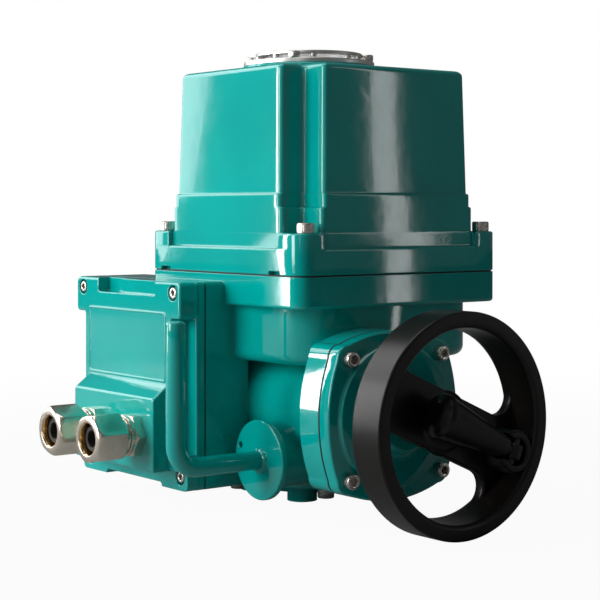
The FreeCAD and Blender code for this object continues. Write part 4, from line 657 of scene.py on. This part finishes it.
c = capSizes
capPlate = Skin().grid(endRows([(c["back"], 0.5), (c["back"] + 0.5, 0.0)] +
                               [(c["face"] - c["edge"] * u, c["edge"] * v) for u, v in quarterRound(6)]))
axisFoot = (0.0, wormAxis[0], wormAxis[1])
ringRow = rounded([(30.0, c["face"] - 1.0), (c["ring"] + 1.2, c["face"] - 1.0), (c["ring"] + 1.2, c["face"]),
                   (c["ring"], c["face"] + c["ringHigh"]), (24.0, c["face"] + c["ringHigh"]), (24.0, c["face"])],
                  [0.1, 0.1, 0.1, 1.2, 1.5, 0.1], 5)
noseRow = rounded([(c["bore"] + 5, c["face"] - 1), (c["noseRoot"] + 4, c["face"] - 1),
                   (c["noseRoot"] + 4, c["face"] + 2.3), (c["noseRoot"] + 0.5, c["face"] + 3),
                   (c["nose"], c["face"] + c["noseLong"]), (11.0, c["face"] + c["noseLong"]),
                   (11.0, c["face"] + c["noseLong"] - 5),
                   (c["bore"], c["face"] + c["noseLong"] - 5), (c["bore"], c["face"] - 1)],
                   [0.1, 0.1, 0.4, 2.5, 1.2, 0.5, 0.2, 0.2, 0.1], 5, True)
capPlate.grid(turned(ringRow, axisFoot, (1, 0, 0), 120), capStart=True, capEnd=True)
capPlate.grid(turned(noseRow, axisFoot, (1, 0, 0), 72), ringed=True)
makePiece("endCapShell", capPlate, "housing", "teal_enamel", ("end_cap",))
print("end cap made")


wheel = {"radius": 62.5, "face": 182.3, "deep": 23.5, "wide": 9.0, "webBack": 158.0, "webFront": 165.0, "bar": 17.0,
         "opening": 52.5, "fillet": 10.0, "hub": 13.5, "hubFlare": 2.5, "hubBack": 137.0, "bore": 7.0,
         "boreEnd": 160.0, "angle": -24.0, "pivot": 43.0, "boss": 12.0, "eye": 7.5, "eyeFloor": 171.5,
         "axis": 178.0, "slot": 3.3}
tilt = math.radians(wheel["angle"])
outwards = np.array([0.0, math.cos(tilt), math.sin(tilt)])
sideways = np.array([0.0, -math.sin(tilt), math.cos(tilt)])
spoke = lambda distance, across=0.0, x=0.0: np.array([x, *wormAxis]) + outwards * distance + sideways * across


def halfMoon(grow):
    # Outline of one opening of the web, in millimetres out along the spoke and across it.
    w = wheel
    radius, reach, bar = w["fillet"] + grow, w["opening"] - w["fillet"], w["bar"] + w["fillet"]
    out = math.sqrt(reach ** 2 - bar ** 2)
    turn = math.atan2(bar, out)
    a = np.linspace(turn, math.pi - turn, 49)
    arc = (w["opening"] + grow) * np.column_stack([np.cos(a), np.sin(a)])
    a = np.linspace(math.pi - turn, 1.5 * math.pi, 15)[1:]
    left = np.array([-out, bar]) + radius * np.column_stack([np.cos(a), np.sin(a)])
    a = np.linspace(-0.5 * math.pi, turn, 15)[:-1]
    right = np.array([out, bar]) + radius * np.column_stack([np.cos(a), np.sin(a)])
    return np.concatenate([arc, left, right])


w = wheel
rimRow = rounded([(w["radius"] - 1.0, w["face"] - w["deep"]), (w["radius"], w["face"] - w["deep"] + 2),
                  (w["radius"], w["face"]),
                  (w["radius"] - w["wide"], w["face"]), (w["radius"] - w["wide"] - 1, w["webFront"] + 1),
                  (w["radius"] - w["wide"] - 1, w["webBack"] - 1), (w["radius"] - w["wide"], w["face"] - w["deep"])],
                 [0.8, 1.2, 1.5, 2.8, 1.5, 1.0, 1.5], 6, True)
rimPiece = makePiece("rim", Skin().grid(turned(rimRow, axisFoot, (1, 0, 0), 160), ringed=True), "handwheel",
                     "black_plastic")
webPiece = makePiece("web", Skin().grid(turned([(w["radius"] - w["wide"] + 1.5, w["webBack"]),
                                                (w["radius"] - w["wide"] + 1.5, w["webFront"])],
                                               axisFoot, (1, 0, 0), 160)), "handwheel", "black_plastic")
openings = []
for side in (1, -1):
    rows = []
    for x, grow in [(w["webBack"] - 2, 1.4), (w["webBack"], 1.4), (w["webBack"] + 0.4, 0.6),
                    (w["webBack"] + 1.4, 0.0), (w["webFront"] - 1.6, 0.0),
                    (w["webFront"] - 0.8, 0.25), (w["webFront"] - 0.25, 0.8), (w["webFront"], 1.6),
                    (w["webFront"] + 2, 1.6)]:
        shape = halfMoon(grow)
        rows.append(np.array([x, *wormAxis]) + shape[:, :1] * outwards + side * shape[:, 1:] * sideways)
    openings.append(Skin().grid(np.stack(rows)))
carve(webPiece, *openings)
hubRow = rounded([(w["bore"], w["hubBack"]), (w["hub"], w["hubBack"]), (w["hub"] + w["hubFlare"], w["webBack"] + 1),
                  (w["hub"] + w["hubFlare"] + 2.5, w["webFront"] - 1),
                  (w["hub"] + 0.5, w["webFront"] + 1.2), (0.0, w["webFront"] + 1.2)], [0.3, 1.2, 2.0, 0.8, 1.0, 0], 6)
hubRow = np.concatenate([hubRow, [(0.0, w["boreEnd"]), (w["bore"], w["boreEnd"]), (w["bore"], w["hubBack"])]])
hubPiece = makePiece("hub", Skin().grid(turned(hubRow, axisFoot, (1, 0, 0), 72), capStart=False, capEnd=False),
                     "handwheel", "black_plastic")
pivot = spoke(w["pivot"])
bossRow = rounded([(0.0, w["webBack"]), (w["boss"] + 1.0, w["webBack"]), (w["boss"], w["face"] - 0.5),
                   (w["eye"], w["face"] - 0.5), (w["eye"], w["eyeFloor"]),
                   (0.0, w["eyeFloor"])], [0, 0.8, 2.2, 1.2, 0.8, 0], 7)
bossPiece = makePiece("boss", Skin().grid(turned(bossRow, pivot, (1, 0, 0), 72), capStart=False, capEnd=False),
                      "handwheel", "black_plastic")
slotPath = np.stack([spoke(d, 0, 0) for d in (12.0, 42.0)])
slotShape = np.array([(-w["slot"], w["axis"] - w["slot"]), (w["slot"], w["axis"] - w["slot"]),
                      (w["slot"], w["face"] + 6), (-w["slot"], w["face"] + 6)])
slotSkin = Skin().grid(np.stack([p + slotShape[:, :1] * sideways + slotShape[:, 1:] * np.array([1.0, 0, 0])
                                 for p in slotPath]))
bedSkin = Skin().grid(turned([(7.7, -9.0), (7.7, 8.9)], spoke(w["pivot"] - 14.4, 0, w["axis"]), outwards, 40))
carve(bossPiece, slotSkin, bedSkin)
joined("wheelBody", [rimPiece, webPiece, hubPiece, bossPiece], ("handwheel",))

gripRow = rounded([(3.05, 0.0), (6.2, 0.0), (7.0, -8.0), (12.1, -50.0), (12.5, -51.8), (11.3, -54.2), (6.5, -57.0),
                   (0.0, -58.0)],
                  [0.3, 1.2, 12.0, 4.0, 1.3, 1.6, 7.0, 0], 7)
gripSkin = Skin().grid(turned(np.concatenate([[(3.05, -20.0)], gripRow]), spoke(w["pivot"] - 8.0, 0, w["axis"]),
                              outwards, 72), capStart=True, capEnd=False)
makePiece("foldingGrip", gripSkin, "grip", "black_plastic", ("handle_grip",))
print("handwheel made")


lever = {"x": 54.0, "z": 33.5, "radius": 5.6, "inner": -57.5, "reach": -138.0, "rise": 84.0, "bend": 14.0,
         "guard": 23.6, "guardFront": -80.0, "guardThick": 4.0, "hole": 1.8, "holeAway": 19.5, "holeAngle": 20.5,
         "throw": 4.0, "bead": (1.55, 0.28, 0.15, 0.08)}
v = lever
a = np.radians(np.linspace(0, 90, 15))
bendPath = np.column_stack([v["reach"] + v["bend"] * (1 - np.sin(a)), v["z"] + v["bend"] * (1 - np.cos(a))])
straight = np.column_stack([np.linspace(v["inner"], v["reach"] + v["bend"] + 1, 8), np.full(8, v["z"])])
topEnd = v["z"] + v["rise"]
upright = np.column_stack([np.full(8, v["reach"]), np.linspace(v["z"] + v["bend"] + 1, topEnd - 2.0, 8)])
tip = np.radians(np.linspace(12, 88, 7))
domeRows = np.column_stack([np.full(7, v["reach"]), topEnd - 2.0 + 2.0 * np.sin(tip)])
leverPath = np.concatenate([straight, bendPath, upright, domeRows])
leverPath = np.column_stack([np.full(len(leverPath), v["x"]), leverPath])
width = np.concatenate([np.full(len(leverPath) - 7, v["radius"]), v["radius"] - 2.0 + 2.0 * np.cos(tip)])
a = np.linspace(0, 2 * np.pi, 40, endpoint=False)
circle = np.column_stack([np.cos(a), np.sin(a)])
leverSkin = Skin().grid(swept(width[:, None, None] * circle, leverPath, (1.0, 0, 0)))
leverSkin.grid(turned([(8.0, v["inner"]), (8.0, v["inner"] + 4.0)], (v["x"], 0, v["z"]), (0, 1, 0), 40))
pinAway = v["throw"] * math.sqrt(0.5)
leverSkin.grid(turned([(2.0, v["inner"] + 3.5), (2.0, v["inner"] + 11.5)], (v["x"] - pinAway, 0, v["z"] + pinAway),
                      (0, 1, 0), 20))
makePiece("leverRod", leverSkin, "lever", "teal_enamel", ("clutch_lever",))

guardRow = rounded([(5.65, 0.0), (v["guard"], 0.0), (v["guard"], v["guardThick"]), (5.65, v["guardThick"])],
                   [0.3, 1.0, 1.0, 0.3], 6, True)
guardPiece = makePiece("guardDisc", Skin().grid(turned(guardRow, (v["x"], v["guardFront"], v["z"]), (0, 1, 0), 96),
                                                ringed=True), "lever", "teal_enamel")
holeSpot = (v["x"] - v["holeAway"] * math.cos(math.radians(v["holeAngle"])), 0,
            v["z"] + v["holeAway"] * math.sin(math.radians(v["holeAngle"])))
carve(guardPiece, Skin().grid(turned([(v["hole"] + 0.5, -82.0), (v["hole"] + 0.5, -80.0), (v["hole"], -79.5),
                                      (v["hole"], -76.5), (v["hole"] + 0.5, -76.0),
                                      (v["hole"] + 0.5, -74.0)], holeSpot, (0, 1, 0), 32)))
# weld bead between the rod and the disc: a ring whose thickness rises and falls in overlapping scales
turn = np.linspace(0, 2 * np.pi, 180, endpoint=False)[:, None]
ring = np.linspace(0, 2 * np.pi, 16, endpoint=False)[None, :]
thick, scale, sway, ripple = v["bead"]
bead = thick + scale * np.abs(np.sin(6.5 * turn)) + sway * np.sin(3 * turn + 1.0) + ripple * np.sin(11 * turn)
away = v["radius"] + 0.4 + bead * np.cos(ring)
beadGrid = np.stack([v["x"] + away * np.cos(turn), v["guardFront"] - 0.1 - bead * 0.85 * np.sin(ring) + 0 * turn,
                     v["z"] + away * np.sin(turn)], -1)
beadPiece = makePiece("weldBead", Skin().grid(beadGrid, ringed=True), "lever", "teal_enamel")
joined("guardPlate", [guardPiece, beadPiece], ("lever_guard",))
print("lever made")


gland = {"places": ((-8.0, -18.0), (-53.0, 8.0)), "z": 45.5, "face": -126.6, "hex": 27.0, "baseHex": 24.0,
         "baseFlat": 30.0, "hexWide": 6.0, "neck": 9.5, "lap": 2.5, "collar": 3.0, "collarRadius": 12.2,
         "cap": 17.5, "shoulder": 4.0, "neckRadius": 10.5, "mouth": 9.5, "lip": 9.5, "thread": 9.45, "bore": 6.2}
flatWay = lambda degrees: (math.cos(math.radians(degrees)), 0.0, math.sin(math.radians(degrees)))
g = gland
neckEnd = g["hexWide"] + g["neck"]
start, inner, end = neckEnd - g["lap"], neckEnd + 6.0, neckEnd + g["cap"]
nutRow = rounded([(g["neckRadius"] + 0.1, start), (g["hex"] / math.sqrt(3), start), (g["hex"] / math.sqrt(3), end),
                  (g["lip"] + 0.5, end), (g["lip"] - 0.4, end - 1.2),
                  (g["lip"] - 2.0, inner), (g["neckRadius"] + 0.1, inner + 0.5)],
                  [0.3, 1.5, g["shoulder"], 0.6, 0.5, 0.2, 0.2], 9, True)
nutRow = np.concatenate([nutRow[:18], [nutRow[17] + (nutRow[18] - nutRow[17]) * t for t in (0.25, 0.5, 0.75)],
                         nutRow[18:]])
bodyRow = rounded([(g["bore"], -10.5), (g["thread"], -10.5), (g["thread"], 0.0),
                   (g["baseHex"] / math.sqrt(3) - 0.2, 0.0), (g["baseHex"] / math.sqrt(3), 1.0),
                   (g["baseHex"] / math.sqrt(3), g["hexWide"]), (g["collarRadius"], g["hexWide"]),
                   (g["collarRadius"], g["hexWide"] + g["collar"]), (g["neckRadius"], g["hexWide"] + g["collar"]),
                   (g["neckRadius"], g["hexWide"] + g["neck"]), (g["mouth"] - 0.1, g["hexWide"] + g["neck"]),
                   (g["mouth"] - 0.1, inner - 0.1), (g["bore"], inner - 0.1)],
                  [0.2, 0.2, 0.1, 0.3, 0.8, 1.4, 0.3, 0.8, 0.4, 0.5, 0.2, 0.3, 0.3], 6, True)
nuts, stems = Skin(), Skin()
for px, flat in g["places"]:
    foot = (px, g["face"], g["z"])
    nuts.grid(turned(nutRow, foot, (0, -1, 0), 144, start=flatWay(flat), squeeze=g["hex"] / 2), ringed=True)
    stems.grid(turned(bodyRow, foot, (0, -1, 0), 144, start=flatWay(g["baseFlat"]), squeeze=g["baseHex"] / 2),
               ringed=True)
makePiece("glandNutPair", nuts, "housing", "nickel_brass", ("gland_nuts",))
makePiece("glandBodyPair", stems, "housing", "nickel_brass", ("gland_bodies",))
print("glands made")


lid = {"left": -96.0, "right": 24.5, "low": 13.5, "high": 137.5, "front": lidFront, "back": -97.8, "flange": 6.2,
       "inset": 10.3, "lug": 22.0, "setback": lidSetback, "setTop": 26.0, "hood": (-79.5, 12.5), "hoodTop": 76.5,
       "hoodLow": 24.8, "hoodReach": 11.0, "hoodSlope": 8.2, "feet": (28.5, 28.0, 2.5),
       "frame": (-79.8, 8.5, 78.0, 118.5), "pockets": ((-69.0, -45.0, 8.0), (-46.0, -3.0, 3.0)), "pocketHigh": 8.7,
       "room": (-80.2, 8.7, 29.5, 123.0)}
d = lid
box4 = [(d["left"], d["low"]), (d["right"], d["low"]), (d["right"], d["high"]), (d["left"], d["high"])]
lowLug, highLug = d["low"] + d["lug"], d["high"] - d["lug"]
inLeft, inRight = d["left"] + d["inset"], d["right"] - d["inset"]
waisted = [(d["left"], d["low"]), (d["right"], d["low"]), (d["right"], lowLug), (inRight, lowLug), (inRight, highLug),
           (d["right"], highLug), (d["right"], d["high"]),
           (d["left"], d["high"]), (d["left"], highLug), (inLeft, highLug), (inLeft, lowLug), (d["left"], lowLug)]
step = d["back"] - d["flange"]
flangeLevels = [(d["back"], 0.4), (d["back"] - 0.4, 0.0)] + frontEdge(d["back"] - 1, step, 1.2)[1:]
flangePiece = makePiece("lidFlange", Skin().grid(plateRows(box4, 3.0, flangeLevels)), "housing", "teal_enamel")
faceLevels = frontEdge(step + 1.5, d["front"], 1.6, 6)
facePiece = makePiece("lidFace", Skin().grid(plateRows(waisted, [3.6, 3.6, 2.6, 2.0, 2.0, 2.6] * 2, faceLevels, 7)),
                      "housing", "teal_enamel")
carveList = [Skin().grid(block(d["left"] - 5, d["right"] + 5, d["front"] - 4, d["front"] + d["setback"], d["low"] - 5,
                               d["setTop"]))]
for x0, x1, deep in d["pockets"]:
    shape = [(x0, d["high"] - d["pocketHigh"]), (x1, d["high"] - d["pocketHigh"]), (x1, d["high"] + 6),
             (x0, d["high"] + 6)]
    floorY = d["front"] + deep
    carveList.append(Skin().grid(plateRows(shape, 1.4, [(floorY, 0.7), (floorY - 0.25, 0.25), (floorY - 0.8, 0.0),
                                                        (d["front"] + 0.7, 0.0), (d["front"] + 0.2, -0.2),
                                                        (d["front"], -0.7), (d["front"] - 3, -0.7)])))
for px, py, pz in lidScrewPlaces:
    mouthY = d["front"] + (d["setback"] if pz < 60 else 0.0)
    carveList.append(Skin().grid(turned([(4.7, py), (4.7, mouthY + 0.4), (5.1, mouthY), (5.1, mouthY - 3.0)],
                                        (px, 0, pz), (0, 1, 0), 36)))
left, right, rise = d["feet"]
underside = [(d["left"] + left, d["low"] - 4), (d["right"] - right, d["low"] - 4),
             (d["right"] - right, d["low"] + rise), (d["left"] + left, d["low"] + rise)]
waist = Skin().grid(plateRows(underside, 2.0, [(d["back"] + 4, 0.0), (d["front"] - 4, 0.0)]))
carve(facePiece, *carveList, waist)
carve(flangePiece, waist)
hoodFront = d["front"] - d["hoodReach"]
hoodShape = rounded([(d["front"] + 2, d["hoodTop"] + 2 * d["hoodSlope"] / d["hoodReach"]),
                     (hoodFront, d["hoodTop"] - d["hoodSlope"]), (hoodFront, d["hoodLow"]),
                     (d["front"] + d["setback"] + 1, d["hoodLow"])], [0, 2.0, 1.6, 0], 6)
middle = hoodShape.mean(0)
rows = []
x0, x1 = d["hood"]
easing = [(0.0, 1.5), (0.12, 0.9), (0.45, 0.45), (0.9, 0.12), (1.5, 0.0)]
for x, depth in [(x0 + far, deep) for far, deep in easing] + [(x1 - far, deep) for far, deep in easing[::-1]]:
    move = np.clip(middle - hoodShape, -12, 12) / 12 * depth
    rows.append(np.column_stack([np.full(len(hoodShape), x), hoodShape + move]))
hoodPiece = makePiece("lidHood", Skin().grid(np.stack(rows)), "housing", "teal_enamel", angle=50)
x0, x1, z0, z1 = d["frame"]
track = rounded([(x0, z0), (x1, z0), (x1, z1), (x0, z1)], 2.0, 7, True)
long = np.concatenate([np.linspace(p, q, 9)[:-1] if np.linalg.norm(q - p) > 5 else p[None]
                       for p, q in zip(track, np.roll(track, -1, 0))])
long = np.column_stack([long[:, 0], np.full(len(long), d["front"]), long[:, 1]])
ridge = np.array([(-0.75, -0.4), (-0.6, 0.1), (-0.32, 0.36), (0, 0.45), (0.32, 0.36), (0.6, 0.1), (0.75, -0.4)])
framePiece = makePiece("lidFrame", Skin().grid(swept(ridge, long, (0, -1.0, 0), True), ringed=True), "housing",
                       "teal_enamel")
x0, x1, z0, z1 = d["room"]
roomSkin = Skin().grid(block(x0, x1, d["front"] + 5.5, d["back"] + 2, z0, z1, 5.0))
for piece in (flangePiece, facePiece):
    carve(piece, roomSkin)
joined("terminalCover", [flangePiece, facePiece, hoodPiece, framePiece], ("terminal_lid",))
print("terminal lid made")
